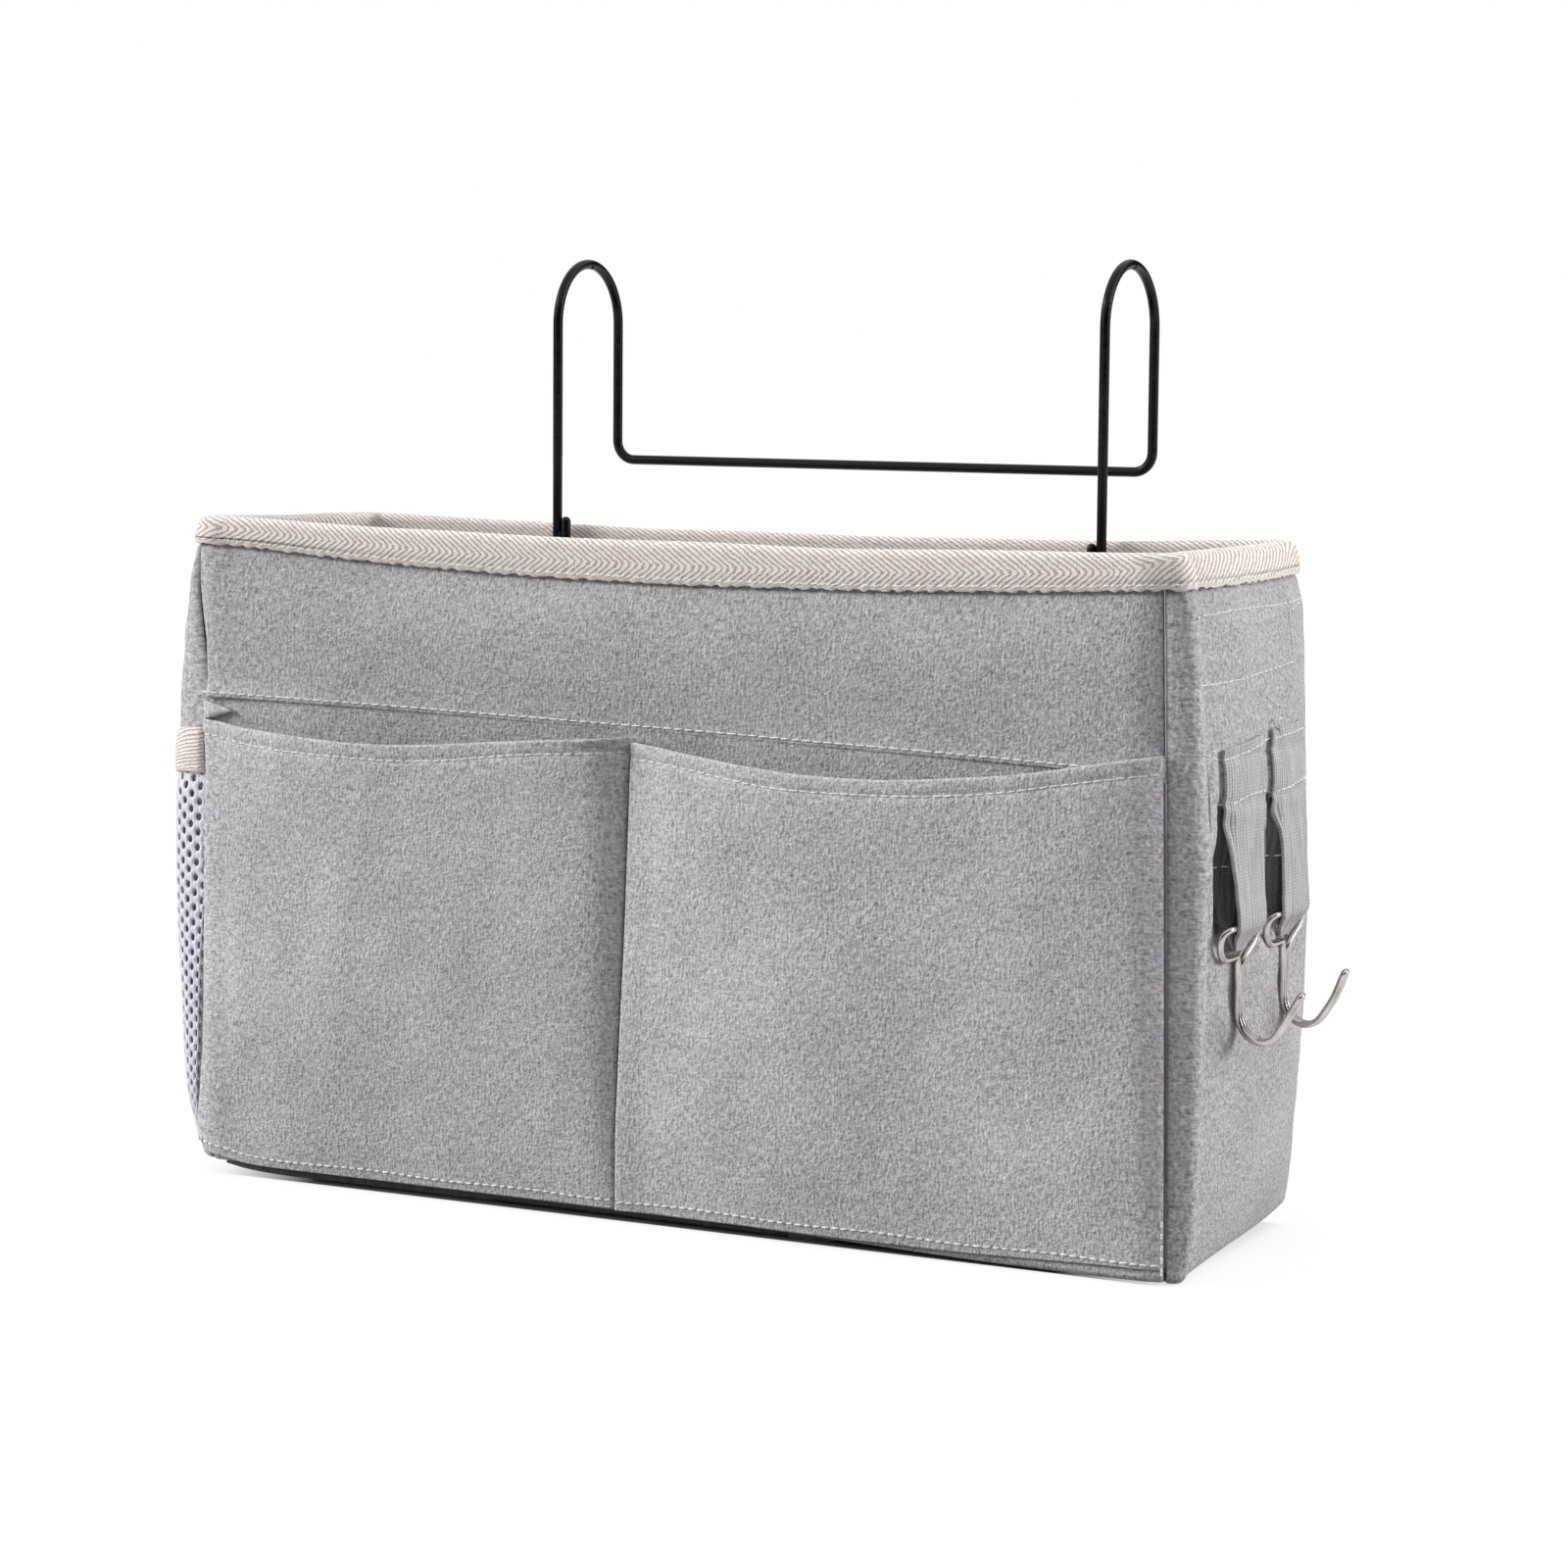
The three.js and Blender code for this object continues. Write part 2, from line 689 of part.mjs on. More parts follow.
// Hanger: one wire bent over the bed rail twice, and a lower frame lapped beside its legs
const legY = bagDepth / 2 - wallThick - clearance - tape - legPlay - wire / 2;
const backY = legY + hangerReach;
const hookRadius = hangerReach / 2;
const leftX = hangerShift - hangerSpan / 2;
const rightX = hangerShift + hangerSpan / 2;
addWire(
  "hanger_hook_wire",
  blackWire,
  [
    at(leftX, legY, legFoot),
    at(leftX, legY, hangerTop, hookRadius),
    at(leftX, backY, hangerTop, hookRadius),
    at(leftX, backY, crossbarHeight, legBend),
    at(rightX, backY, crossbarHeight, legBend),
    at(rightX, backY, hangerTop, hookRadius),
    at(rightX, legY, hangerTop, hookRadius),
    at(rightX, legY, legFoot),
  ],
  wire,
  wireSides,
);
const lapStep = wire + clearance / 4;
addWire(
  "hanger_lower_frame",
  blackWire,
  [
    at(leftX + lapStep, legY, lapLeft),
    at(leftX + lapStep, legY, frameBar, legBend),
    at(rightX - lapStep, legY, frameBar, legBend),
    at(rightX - lapStep, legY, lapRight),
  ],
  wire,
  wireSides,
);

// Channel: a strip sewn to the lining along both edges, round the lower frame's bar
const channelStops = stopsAlong(
  halfWalk - (rightX - lapStep - channelInset),
  halfWalk - (leftX + lapStep + channelInset),
);
sweep("hanger_channel", greyLining, channelStops, (walk) => {
  const high = frameBar + wire / 2 + channelRoom + canvas;
  const low = frameBar - wire / 2 - channelRoom - canvas;
  const bandY = legY - wire / 2 - channelRoom;
  const reach = (z) => outline(walk, z).y - bandY;
  const seat = wallThick + clearance;
  return [
    [seat, low],
    [reach(low) + canvas, low],
    [reach(high) + canvas, high],
    [seat, high],
    [seat, high - canvas],
    [reach(high), high - canvas],
    [reach(low), low + canvas],
    [seat, low + canvas],
  ];
});

export default caddy;
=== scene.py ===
# Bedside caddy: woven canvas walls and pockets, herringbone tape, a knitted mesh pocket, webbing
# straps with doubled wire hooks, and a wire hanger that goes over a bed rail.
# Lengths in the dictionaries are in millimetres. +X runs along the bag, +Y back to the bed, +Z up.
import math

import bmesh
import bpy
import numpy as np
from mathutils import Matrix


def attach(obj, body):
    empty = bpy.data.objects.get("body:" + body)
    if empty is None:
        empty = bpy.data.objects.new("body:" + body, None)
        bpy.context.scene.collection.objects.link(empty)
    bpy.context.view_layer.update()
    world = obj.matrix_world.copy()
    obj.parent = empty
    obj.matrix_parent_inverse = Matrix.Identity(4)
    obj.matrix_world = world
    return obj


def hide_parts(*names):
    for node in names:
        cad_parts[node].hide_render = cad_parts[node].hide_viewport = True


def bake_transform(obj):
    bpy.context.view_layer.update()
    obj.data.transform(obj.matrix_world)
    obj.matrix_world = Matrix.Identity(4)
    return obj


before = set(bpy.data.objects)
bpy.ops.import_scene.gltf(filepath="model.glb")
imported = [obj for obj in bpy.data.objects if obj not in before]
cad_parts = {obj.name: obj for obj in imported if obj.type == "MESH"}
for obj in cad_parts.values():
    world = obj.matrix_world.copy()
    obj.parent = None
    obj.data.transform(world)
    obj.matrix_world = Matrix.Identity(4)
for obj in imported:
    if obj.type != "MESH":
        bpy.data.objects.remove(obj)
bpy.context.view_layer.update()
print("frame loaded:", len(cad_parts), "nodes")

mm = 0.001
quarterTurn = math.pi / 2

# ---- Looks


def linear(colour):
    parts = [int(colour[i : i + 2], 16) / 255 for i in (1, 3, 5)]
    return [p / 12.92 if p <= 0.04045 else ((p + 0.055) / 1.055) ** 2.4 for p in parts] + [1.0]


def addNode(tree, kind, settings=None, links=None):
    node = tree.nodes.new(kind)
    for name, value in (settings or {}).items():
        setattr(node, name, value)
    for name, value in (links or {}).items():
        if isinstance(value, bpy.types.NodeSocket):
            tree.links.new(value, node.inputs[name])
        else:
            node.inputs[name].default_value = value
    return node


# One output of a new node
def socketOf(tree, kind, output, links=None, **settings):
    return addNode(tree, kind, settings, links).outputs[output]


def mathOf(tree, operation, *values):
    return socketOf(tree, "ShaderNodeMath", "Value", dict(enumerate(values)), operation=operation)


def rangeOf(tree, value, low, high, **settings):
    links = {"Value": value, "From Min": low, "From Max": high}
    return socketOf(tree, "ShaderNodeMapRange", "Result", links, **settings)


# Soft spots of a width and height in millimetres, from 0 between them to 1 in their middle
def flecks(tree, where, width, height, low=0.3, high=0.7, detail=2.0, shift=0.0):
    links = {"Vector": where, "Location": (shift, 2 * shift, shift)}
    links["Scale"] = (1 / width, 1 / height, 1 / width)
    spot = socketOf(tree, "ShaderNodeMapping", "Vector", links)
    links = {"Vector": spot, "Scale": 1.0, "Detail": detail}
    return rangeOf(tree, socketOf(tree, "ShaderNodeTexNoise", "Fac", links), low, high)


# Weighted sum of several patterns
def blendOf(tree, *parts):
    total = 0.0
    for socket, weight in parts:
        total = mathOf(tree, "MULTIPLY_ADD", socket, weight, total)
    return total


# Mix of two colours, each a socket or a hex code
def tint(tree, factor, *ends):
    dark, light = [linear(end) if isinstance(end, str) else end for end in ends]
    return socketOf(tree, "ShaderNodeMix", 2, {0: factor, 6: dark, 7: light}, data_type="RGBA")


def clothPlace(tree):
    return socketOf(tree, "ShaderNodeUVMap", "UV", uv_map="cloth")


def objectPlace(tree):
    return socketOf(tree, "ShaderNodeTexCoord", "Object")


def axesOf(tree, vector):
    return addNode(tree, "ShaderNodeSeparateXYZ", links={"Vector": vector}).outputs


def newMaterial(name):
    material = bpy.data.materials.new(name)
    material.use_nodes = True
    material.node_tree.nodes.clear()
    return material, material.node_tree


# Material from a paint function, which gives its colour, height, depth in millimetres and shine
def makeMaterial(name, paint, *look):
    material, tree = newMaterial(name)
    colour, height, depth, shine = paint(tree, *look)
    links = {"Height": height, "Distance": depth * mm}
    normal = socketOf(tree, "ShaderNodeBump", "Normal", links)
    links = {"Base Color": colour, "Normal": normal, **shine}
    shader = socketOf(tree, "ShaderNodeBsdfPrincipled", "BSDF", links)
    addNode(tree, "ShaderNodeOutputMaterial", links={"Surface": shader})
    return material


def clothShine(rough, sheen, spread=0.5, level=0.5):
    names = ("Roughness", "Sheen Weight", "Sheen Roughness", "Specular IOR Level")
    return dict(zip(names, (rough, sheen, spread, level)))


canvasLook = {
    "deep": "#5c585b",
    "pale": "#e0dde0",
    "speck": "#f6f5f6",
    "fleckWidth": 0.85,
    "fleckLength": 2.3,
    "grain": 0.8,
    "mottle": 30,
}
# Paler copy of the canvas for the pockets and the corner flap: painted light, for the brighter
# light they catch
paintedLightLook = {**canvasLook, "deep": "#6a6669", "pale": "#f0edf0"}


# Linen-look polyester canvas, plain woven from slubby yarn: a dry grey heather with pale specks
def canvasPaint(tree, look):
    where = clothPlace(tree)
    wide, long, grain, mottle = [look[k] for k in ("fleckWidth", "fleckLength", "grain", "mottle")]
    warp = flecks(tree, where, wide, long, 0.32, 0.68)
    weft = flecks(tree, where, long * 0.8, wide, 0.32, 0.68, shift=7.3)
    dots = flecks(tree, where, grain, grain, detail=1.0, shift=3.1)
    specks = flecks(tree, where, 1.1 * grain, 1.3 * grain, 0.66, 0.78, 1.0, 12.7)
    cloud = flecks(tree, where, mottle, 1.3 * mottle, 0.25, 0.75, 3.0, 5.9)
    threads = blendOf(tree, (warp, 0.4), (weft, 0.25), (dots, 0.35))
    tone = blendOf(tree, (threads, 0.85), (cloud, 0.15))
    ground = tint(tree, tone, look["deep"], look["pale"])
    colour = tint(tree, blendOf(tree, (specks, 0.55)), ground, look["speck"])
    height = blendOf(tree, (threads, 1.0), (specks, 0.3))
    return colour, height, 0.3, clothShine(0.92, 0.15, 0.5, 0.25)


tapeLook = {
    "hollowShade": "#c4afa5",
    "rib": "#f6efea",
    "selvedge": "#ece3dd",
    "selvedgeWidth": 0.9,
    "yarn": 0.6,
}


# Cotton-polyester herringbone tape: raised slanting ribs in cream; the hollows between them are
# painted darker beige as shade. The map's first number counts the ribs, the second is the distance
# in millimetres from the outer edge.
def tapePaint(tree, look):
    parts, spot = axesOf(tree, clothPlace(tree)), objectPlace(tree)
    yarn, width = look["yarn"] * mm, look["selvedgeWidth"]
    fuzz = flecks(tree, spot, yarn, yarn)
    drift = flecks(tree, spot, 5 * mm, 5 * mm, 0.2, 0.8, 1.0)
    stray = blendOf(tree, (fuzz, 2.2), (drift, 2.0))
    wave = mathOf(tree, "SINE", mathOf(tree, "MULTIPLY_ADD", parts["X"], 2 * math.pi, stray))
    rib = rangeOf(tree, wave, -0.95, 0.1, interpolation_type="SMOOTHSTEP")
    body = rangeOf(tree, parts["Y"], width - 0.3, width + 0.3)
    # The hollows take the darker beige: painted shade between the ribs
    ribbed = tint(tree, rib, look["hollowShade"], look["rib"])
    soft = tint(tree, fuzz, look["selvedge"], look["rib"])
    height = blendOf(tree, (mathOf(tree, "MULTIPLY", rib, body), 0.8), (fuzz, 0.3))
    return tint(tree, body, soft, ribbed), height, 0.3, clothShine(0.85, 0.2, 0.4, 0.3)


weaveLooks = {
    "lining": {"deep": "#b2aeb4", "pale": "#d3d0d6", "yarn": 0.6, "depth": 0.06, "rough": 0.8},
    "webbing": {"deep": "#7b7779", "pale": "#dcd9dc", "yarn": 1.3, "depth": 0.35, "rough": 0.88},
    # A darker copy of the webbing: painted shade for the dark gap behind each strap's front layer
    "webbingShade": {"deep": "#3a3637", "pale": "#7a7577", "yarn": 1.3, "depth": 0.35, "rough": 0.9},
    "mesh": {"deep": "#bbb8c8", "pale": "#f2f0fa", "yarn": 0.42, "depth": 0.14, "rough": 0.7},
}


# Woven or knitted polyester with its yarns in rows: taffeta lining, ribbed webbing, warp-knit mesh
def weavePaint(tree, look):
    where, yarn = clothPlace(tree), look["yarn"]
    fuzz = flecks(tree, where, 0.3 * yarn, 0.9 * yarn)
    slub = flecks(tree, where, 0.8 * yarn, 9 * yarn, shift=4.4)
    stray = blendOf(tree, (slub, 1.2))
    waves = []
    for axis, pitch in (("X", yarn), ("Y", 0.7 * yarn)):
        spot = axesOf(tree, where)[axis]
        turns = mathOf(tree, "MULTIPLY_ADD", spot, 2 * math.pi / pitch, stray)
        waves.append(rangeOf(tree, mathOf(tree, "SINE", turns), -1.0, 1.0))
    tone = blendOf(tree, (waves[0], 0.3), (waves[1], 0.12), (fuzz, 0.28), (slub, 0.3))
    height = blendOf(tree, (waves[0], 0.6), (waves[1], 0.2), (fuzz, 0.3))
    colour = tint(tree, tone, look["deep"], look["pale"])
    return colour, height, look["depth"], clothShine(look["rough"], 0.2, 0.4)


# Needled polyester felt: short matted fibres, fully matt. Its dark grey also serves as painted
# shade in the seam grooves, where it shows between the canvas panels
def feltPaint(tree):
    where = clothPlace(tree)
    hairs = flecks(tree, where, 0.5, 3.2, detail=3.0)
    across = flecks(tree, where, 3.2, 0.5, detail=3.0, shift=8.8)
    tone = blendOf(tree, (hairs, 0.5), (across, 0.5))
    return tint(tree, tone, "#5b595b", "#8f8c8e"), tone, 0.3, clothShine(1.0, 0.3)


threadLook = {"ply": 0.55, "deep": "#d6d3d3", "pale": "#fdfcfc"}


# Spun polyester sewing thread, three plies twisted: white with faint slanting shade
def threadPaint(tree, look):
    links = {"Vector": objectPlace(tree), "Scale": 0.314 / (look["ply"] * mm)}
    links.update({"Distortion": 2.0, "Detail": 1.0})
    plies = socketOf(tree, "ShaderNodeTexWave", "Fac", links, bands_direction="DIAGONAL")
    return tint(tree, plies, look["deep"], look["pale"]), plies, 0.08, clothShine(0.7, 0.2)


# Round steel wire, dip coated in black enamel: deep black, wet gloss, a faintly uneven skin
def enamelPaint(tree):
    where = objectPlace(tree)
    skin = flecks(tree, where, 4 * mm, 9 * mm, 0.2, 0.8)
    dust = flecks(tree, where, 0.5 * mm, 0.5 * mm, 0.62, 0.8)
    colour = tint(tree, dust, "#060607", "#121112")
    return colour, skin, 0.12, {"Roughness": 0.26, "Specular IOR Level": 0.22}


# Steel wire, drawn and nickel plated: warm bright grey with fine lines along its length
def nickelPaint(tree):
    where = clothPlace(tree)
    drawn = flecks(tree, where, 0.22, 14)
    worn = flecks(tree, where, 2.5, 6, shift=2.2)
    colour = tint(tree, blendOf(tree, (drawn, 0.5), (worn, 0.5)), "#8d8683", "#e0dcda")
    return colour, drawn, 0.004, {"Metallic": 1.0, "Roughness": 0.22}


canvas = makeMaterial("Linen-look polyester canvas, plain woven", canvasPaint, canvasLook)
paintedLightCanvas = makeMaterial("Linen-look polyester canvas, painted lighter", canvasPaint, paintedLightLook)
tape = makeMaterial("Herringbone tape, cotton and polyester, woven", tapePaint, tapeLook)
lining, webbing, webbingShade, meshKnit = [
    makeMaterial(name, weavePaint, weaveLooks[key])
    for name, key in (
        ("Polyester taffeta lining, woven", "lining"),
        ("Polyester webbing, ribbed weave", "webbing"),
        ("Polyester webbing, painted shade", "webbingShade"),
        ("Polyester mesh, warp knitted", "mesh"),
    )
]
felt = makeMaterial("Polyester felt, needled", feltPaint)
thread = makeMaterial("Polyester sewing thread, spun and twisted", threadPaint, threadLook)
enamel = makeMaterial("Steel wire, black enamel, dip coated", enamelPaint)
nickel = makeMaterial("Steel wire, drawn and nickel plated", nickelPaint)

print("materials made")

# ---- Shape of the bag

bag = {
    "width": 320,
    "depth": 95,
    "height": 200,
    "frontCorner": 10,
    "backCorner": 6,
    "bottomRound": 2.6,
    "leftSwell": 18,
    "rightSwell": 9,
    "backSwell": 1.5,
    "depthSwell": 5,
    "leftFrontPower": 7,
    "rightFrontPower": 3.5,
    "backPower": 3,
    "heightPower": 2.2,
    "canvas": 0.8,
    "felt": 1.6,
    "lining": 0.5,
    "tape": 0.8,
    "gap": 0.3,
    "roll": 1.5,
    "rimPull": 1.7,
    "cornerPush": 2.7,
    # z, then how far the right front corner leans outwards
    "cornerLean": ((0, 80, 140, 190, 198), (2.0, 0.6, -0.7, -2.0, -3.2)),
    "cornerReach": 15,
    # z, then how far along the walk the left front seam leans
    "seamLean": ((130, 146, 190), (0.0, 1.2, 4.2)),
    "seamReach": 10,
    "leftCornerShape": 1.0,
    "rightCornerShape": 2.4,
}
frontHalf = bag["width"] / 2 - bag["frontCorner"]
sideStart = frontHalf + bag["frontCorner"] * quarterTurn
sideEnd = sideStart + bag["depth"] - bag["frontCorner"] - bag["backCorner"]
backStart = sideEnd + bag["backCorner"] * quarterTurn
backHalf = bag["width"] / 2 - bag["backCorner"]
halfWalk = backStart + backHalf
frontSeam = frontHalf + 0.45 * bag["frontCorner"] * quarterTurn
leftSeam = frontSeam - 1.9
leftEnd = frontSeam + 1.2
backSeam = sideEnd + 0.5 * bag["backCorner"] * quarterTurn
wallTop = bag["height"] - bag["tape"] - bag["gap"]
wallThick = bag["canvas"] + bag["felt"] + bag["lining"] + 2 * bag["gap"]
foot = bag["canvas"] + bag["gap"]


def smooth(low, high, value):
    share = np.clip((value - low) / (high - low), 0, 1)
    return share * share * (3 - 2 * share)


# Round hill, 1 in its middle
def hill(distance, width):
    return np.exp(-((distance / width) ** 2))


# Outer face of the bag: the walk runs along the rim from the middle of the front towards +X
def outline(walk, z):
    walk, z = np.broadcast_arrays(wrapped(walk), np.asarray(z, float))
    walk = walk - np.interp(z, *bag["seamLean"]) * hill(walk + leftSeam, bag["seamReach"])
    along = np.abs(walk)
    frontTurn = np.clip(along - frontHalf, 0, sideStart - frontHalf) / bag["frontCorner"]
    backTurn = np.clip(along - sideEnd, 0, backStart - sideEnd) / bag["backCorner"]
    x = np.minimum(along, frontHalf) + bag["frontCorner"] * np.sin(frontTurn)
    x = x - bag["backCorner"] * (1 - np.cos(backTurn)) - np.maximum(along - backStart, 0)
    y = bag["frontCorner"] * (1 - np.cos(frontTurn)) + bag["backCorner"] * np.sin(backTurn)
    blunt = np.where(walk < 0, bag["leftCornerShape"], bag["rightCornerShape"])
    push = bag["cornerPush"] * np.sin(math.pi * (frontTurn / quarterTurn) ** blunt) * math.sqrt(0.5)
    x = x + push + np.interp(z, *bag["cornerLean"]) * hill(walk - frontSeam, bag["cornerReach"])
    y = y - push + np.clip(along - sideStart, 0, sideEnd - sideStart)
    level = np.minimum(1, np.abs(2 * z / bag["height"] - 1))
    full = (1 - level ** bag["heightPower"]) ** (1 / bag["heightPower"])
    backShare = np.clip((along - backSeam) / (2 * (halfWalk - backSeam)), 0, 1)
    backShape = 1 - np.abs(2 * backShare - 1) ** bag["backPower"]
    y = y + np.where(along > backSeam, bag["backSwell"] * full * backShape, 0)
    share = np.clip((along - frontSeam) / (backSeam - frontSeam), 0, 1)
    frontPower = np.where(walk < 0, bag["leftFrontPower"], bag["rightFrontPower"])
    power = np.where(share < 0.5, frontPower, bag["backPower"])
    leftSwell = bag["leftSwell"] * (1 - 0.35 * smooth(180, 197, z))
    swell = np.where(walk < 0, leftSwell, bag["rightSwell"])
    x = x + swell * full * (1 - np.abs(2 * share - 1) ** power)
    drawn = smooth(sideStart + 20, backSeam, along) * (1 - smooth(backStart, backStart + 60, along))
    x = x - np.where(walk > 0, bag["rimPull"] * drawn * smooth(180, 193, z), 0)
    y = y * (1 + bag["depthSwell"] / bag["depth"] * full) - bag["depth"] / 2
    return np.stack([np.where(walk < 0, -x, x), y], -1)


def wrapped(walk):
    return (np.asarray(walk, float) + halfWalk) % (2 * halfWalk) - halfWalk


# Mean of a table's values at a few spots round each place
def eased(table, spots):
    near = [np.interp(spot, *np.transpose(table)) for spot in spots]
    return sum(near) / len(near)


# The soft rim dips between its corners, by these heights along the walk
rimDips = [
    (-408.2, -2.4), (-350, -2.2), (-300, -1.3), (-262, 0.0), (-205, 0.6), (-188, 1.3), (-165, 2.0),
    (-148, 1.7), (-92, 0.2), (-50, -0.8), (10, -1.0), (52, -1.4), (125, -0.1), (152, 0.5),
    (240, 0.5), (262, 0.0), (300, -1.3), (350, -2.2), (408.2, -2.4),
]


def dipAt(walk):
    return eased(rimDips, [wrapped(walk + s) for s in (-9, -4, 0, 4, 9)])


# Height of the tape's lower edge along the walk
tapeEdge = [
    (-408.2, 190.0), (-300, 190.2), (-175, 192.8), (-160, 194.0), (-140, 193.0), (-120, 191.4),
    (-82, 189.1), (-40, 187.5), (7, 186.7), (70, 187.2), (120, 188.8), (157, 190.4), (170, 190.8),
    (250, 191.2), (300, 190.4), (408.2, 190.0),
]


def tapeLow(walk):
    return eased(tapeEdge, [wrapped(walk + s) for s in (-10, -4, 0, 4, 10)]) - dipAt(walk)


# The base stands off the floor towards its back right corner and curls up at its front left one
baseLift = {"right": 5.6, "rightFrom": 30, "left": 3.0, "leftReach": 12, "front": 1.0, "fade": 85}


def liftAt(x, y):
    share = np.clip((y + bag["depth"] / 2) / bag["depth"], 0, 1)
    right = baseLift["right"] * share**1.6 * smooth(baseLift["rightFrom"], bag["width"] / 2, x)
    gone = (x + bag["width"] / 2) ** 2 + (y + bag["depth"] / 2) ** 2
    left = baseLift["left"] * np.exp(-gone / baseLift["leftReach"] ** 2)
    return right + left - baseLift["front"] * smooth(-110, 150, x) * (1 - smooth(0, 0.5, share))


# The same moved inwards; low down the wall turns under
def place(walk, z, inward):
    walk, z, inward = np.broadcast_arrays(walk, z, np.asarray(inward, float))
    run = outline(walk + 0.3, z) - outline(walk - 0.3, z)
    run = run / np.linalg.norm(run, axis=-1, keepdims=True)
    lift = np.clip(bag["bottomRound"] - z, 0, bag["bottomRound"])
    depth = inward + bag["bottomRound"] - np.sqrt(bag["bottomRound"] ** 2 - lift**2)
    at = outline(walk, z)
    x, y = at[..., 0] - run[..., 1] * depth, at[..., 1] + run[..., 0] * depth
    z = z + dipAt(walk) * smooth(110, 200, z)
    return np.stack([x, y, z + liftAt(x, y) * (1 - np.clip(z / baseLift["fade"], 0, 1)) ** 2], -1)


# Distance that a sewn edge turns in, at a distance from its seam
def turnIn(distance, roll):
    short = roll - np.clip(distance, 0, roll)
    return roll - np.sqrt(np.maximum(roll**2 - short**2, 0))


# Soft uneven swelling of stiffened cloth, between 0 and size
def swelling(walk, z, seed, size, shortest, longest):
    rng = np.random.default_rng(seed)
    total = 0.0
    for _ in range(14):
        wave = shortest * (longest / shortest) ** rng.random()
        turn, phase = rng.random(2) * 2 * math.pi
        across = walk * math.cos(turn) + z * math.sin(turn)
        total = total + np.sin(2 * math.pi * across / wave + phase) * (wave / longest) ** 0.7
    return size * np.clip(0.5 + 0.22 * total, 0, 1)


# One fold: a ridge (or a hollow, when height is negative) along a line between two places
def fold(walk, z, start, end, width, height):
    start, end = np.array(start, float), np.array(end, float)
    run = end - start
    share = ((walk - start[0]) * run[0] + (z - start[1]) * run[1]) / (run @ run)
    near = np.clip(share, 0, 1)
    gone = (walk - start[0] - near * run[0]) ** 2 + (z - start[1] - near * run[1]) ** 2
    return height * np.exp(-gone / width**2)


def gridNormals(points, around):
    if around:
        wide = np.concatenate([points[-2:-1], points, points[1:2]])
        along = wide[2:] - wide[:-2]
    else:
        along = np.gradient(points, axis=0)
    normal = np.cross(along, np.gradient(points, axis=1))
    return normal / np.maximum(np.linalg.norm(normal, axis=2, keepdims=True), 1e-9)


def lengthAlong(points):
    return np.concatenate([[0], np.cumsum(np.linalg.norm(np.diff(points, axis=0), axis=1))])


def pair(first, second):
    return np.stack([first, second], -1)


# Closed sheet whose outer face is a grid of points; the other face lies thick behind it
def sheetOf(points, thick, cloth, around=False):
    wide, high = points.shape[:2]
    inner = points - gridNormals(points, around) * np.asarray(thick)[..., None]
    corners = np.concatenate([points.reshape(-1, 3), inner.reshape(-1, 3)])
    index = np.arange(wide * high).reshape(wide, high)
    a, b, c, d = index[:-1, :-1], index[1:, :-1], index[1:, 1:], index[:-1, 1:]
    back = wide * high
    faces = [np.stack([a, b, c, d], -1).reshape(-1, 4)]
    faces.append(np.stack([a, d, c, b], -1).reshape(-1, 4) + back)
    rims = [index[::-1, 0], index[:, -1]]
    if not around:
        rims += [index[0], index[-1, ::-1]]
    for rim in rims:
        near, far = rim[:-1], rim[1:]
        faces.append(np.stack([near, far, far + back, near + back], -1))
    return corners, np.concatenate(faces), np.concatenate([cloth.reshape(-1, 2)] * 2)


# Round wire along points, closed at both ends with a small dome
def wireOf(points, radius, sides):
    points = np.asarray(points, float)
    run = np.gradient(points, axis=0)
    run = run / np.linalg.norm(run, axis=1, keepdims=True)
    side = np.cross(run[0], [0.31, 0.2, 0.93])
    side /= np.linalg.norm(side)
    angles = np.arange(sides) * 2 * math.pi / sides
    length = lengthAlong(points)
    rings, cloth = [], []
    dome = [(-1.0, 0.0), (-0.92, 0.4), (-0.7, 0.71), (-0.38, 0.92)]
    spots = [(0, a, b) for a, b in dome] + [(i, 0.0, 1.0) for i in range(len(points))]
    spots += [(len(points) - 1, -a, b) for a, b in reversed(dome)]
    for i, reach, share in spots:
        side = side - run[i] * (side @ run[i])
        side /= np.linalg.norm(side)
        up = np.cross(run[i], side)
        ring = np.cos(angles)[:, None] * side + np.sin(angles)[:, None] * up
        centre = points[i] + run[i] * reach * radius
        rings.append(centre + ring * radius * max(share, 0.02))
        cloth.append(pair(angles * radius, np.full(sides, length[i])))
    index = np.arange(len(rings) * sides).reshape(-1, sides)
    a, b = index[:-1], index[1:]
    quads = np.stack([a, np.roll(a, -1, 1), np.roll(b, -1, 1), b], -1).reshape(-1, 4)
    ends = [list(index[0][::-1]), list(index[-1])]
    return np.concatenate(rings), list(quads) + ends, np.concatenate(cloth)


def newObject(name, corners, edges, faces):
    mesh = bpy.data.meshes.new(name)
    mesh.from_pydata(corners, edges, faces)
    piece = bpy.data.objects.new(name, mesh)
    bpy.context.scene.collection.objects.link(piece)
    return piece


# Each vertex's place on its cloth, in millimetres, as the map that the looks read
def layCloth(mesh, spots):
    layer = mesh.uv_layers.new(name="cloth")
    order = np.empty(len(mesh.loops), dtype=np.int64)
    mesh.loops.foreach_get("vertex_index", order)
    layer.data.foreach_set("uv", spots[order].astype(np.float32).ravel())


# Finished piece from closed parts
def addPiece(name, parts, material, weld=False):
    faces, base = [], 0
    for points, quads, _ in parts:
        faces += [[int(i) + base for i in quad] for quad in quads]
        base += len(points)
    corners = np.concatenate([part[0] for part in parts]) * mm
    piece = newObject(name, corners.tolist(), [], faces)
    mesh = piece.data
    layCloth(mesh, np.concatenate([part[2] for part in parts]))
    if weld:
        work = bmesh.new()
        work.from_mesh(mesh)
        bmesh.ops.remove_doubles(work, verts=work.verts, dist=1e-6)
        work.to_mesh(mesh)
        work.free()
    mesh.materials.append(material)
    mesh.shade_smooth()
    return piece


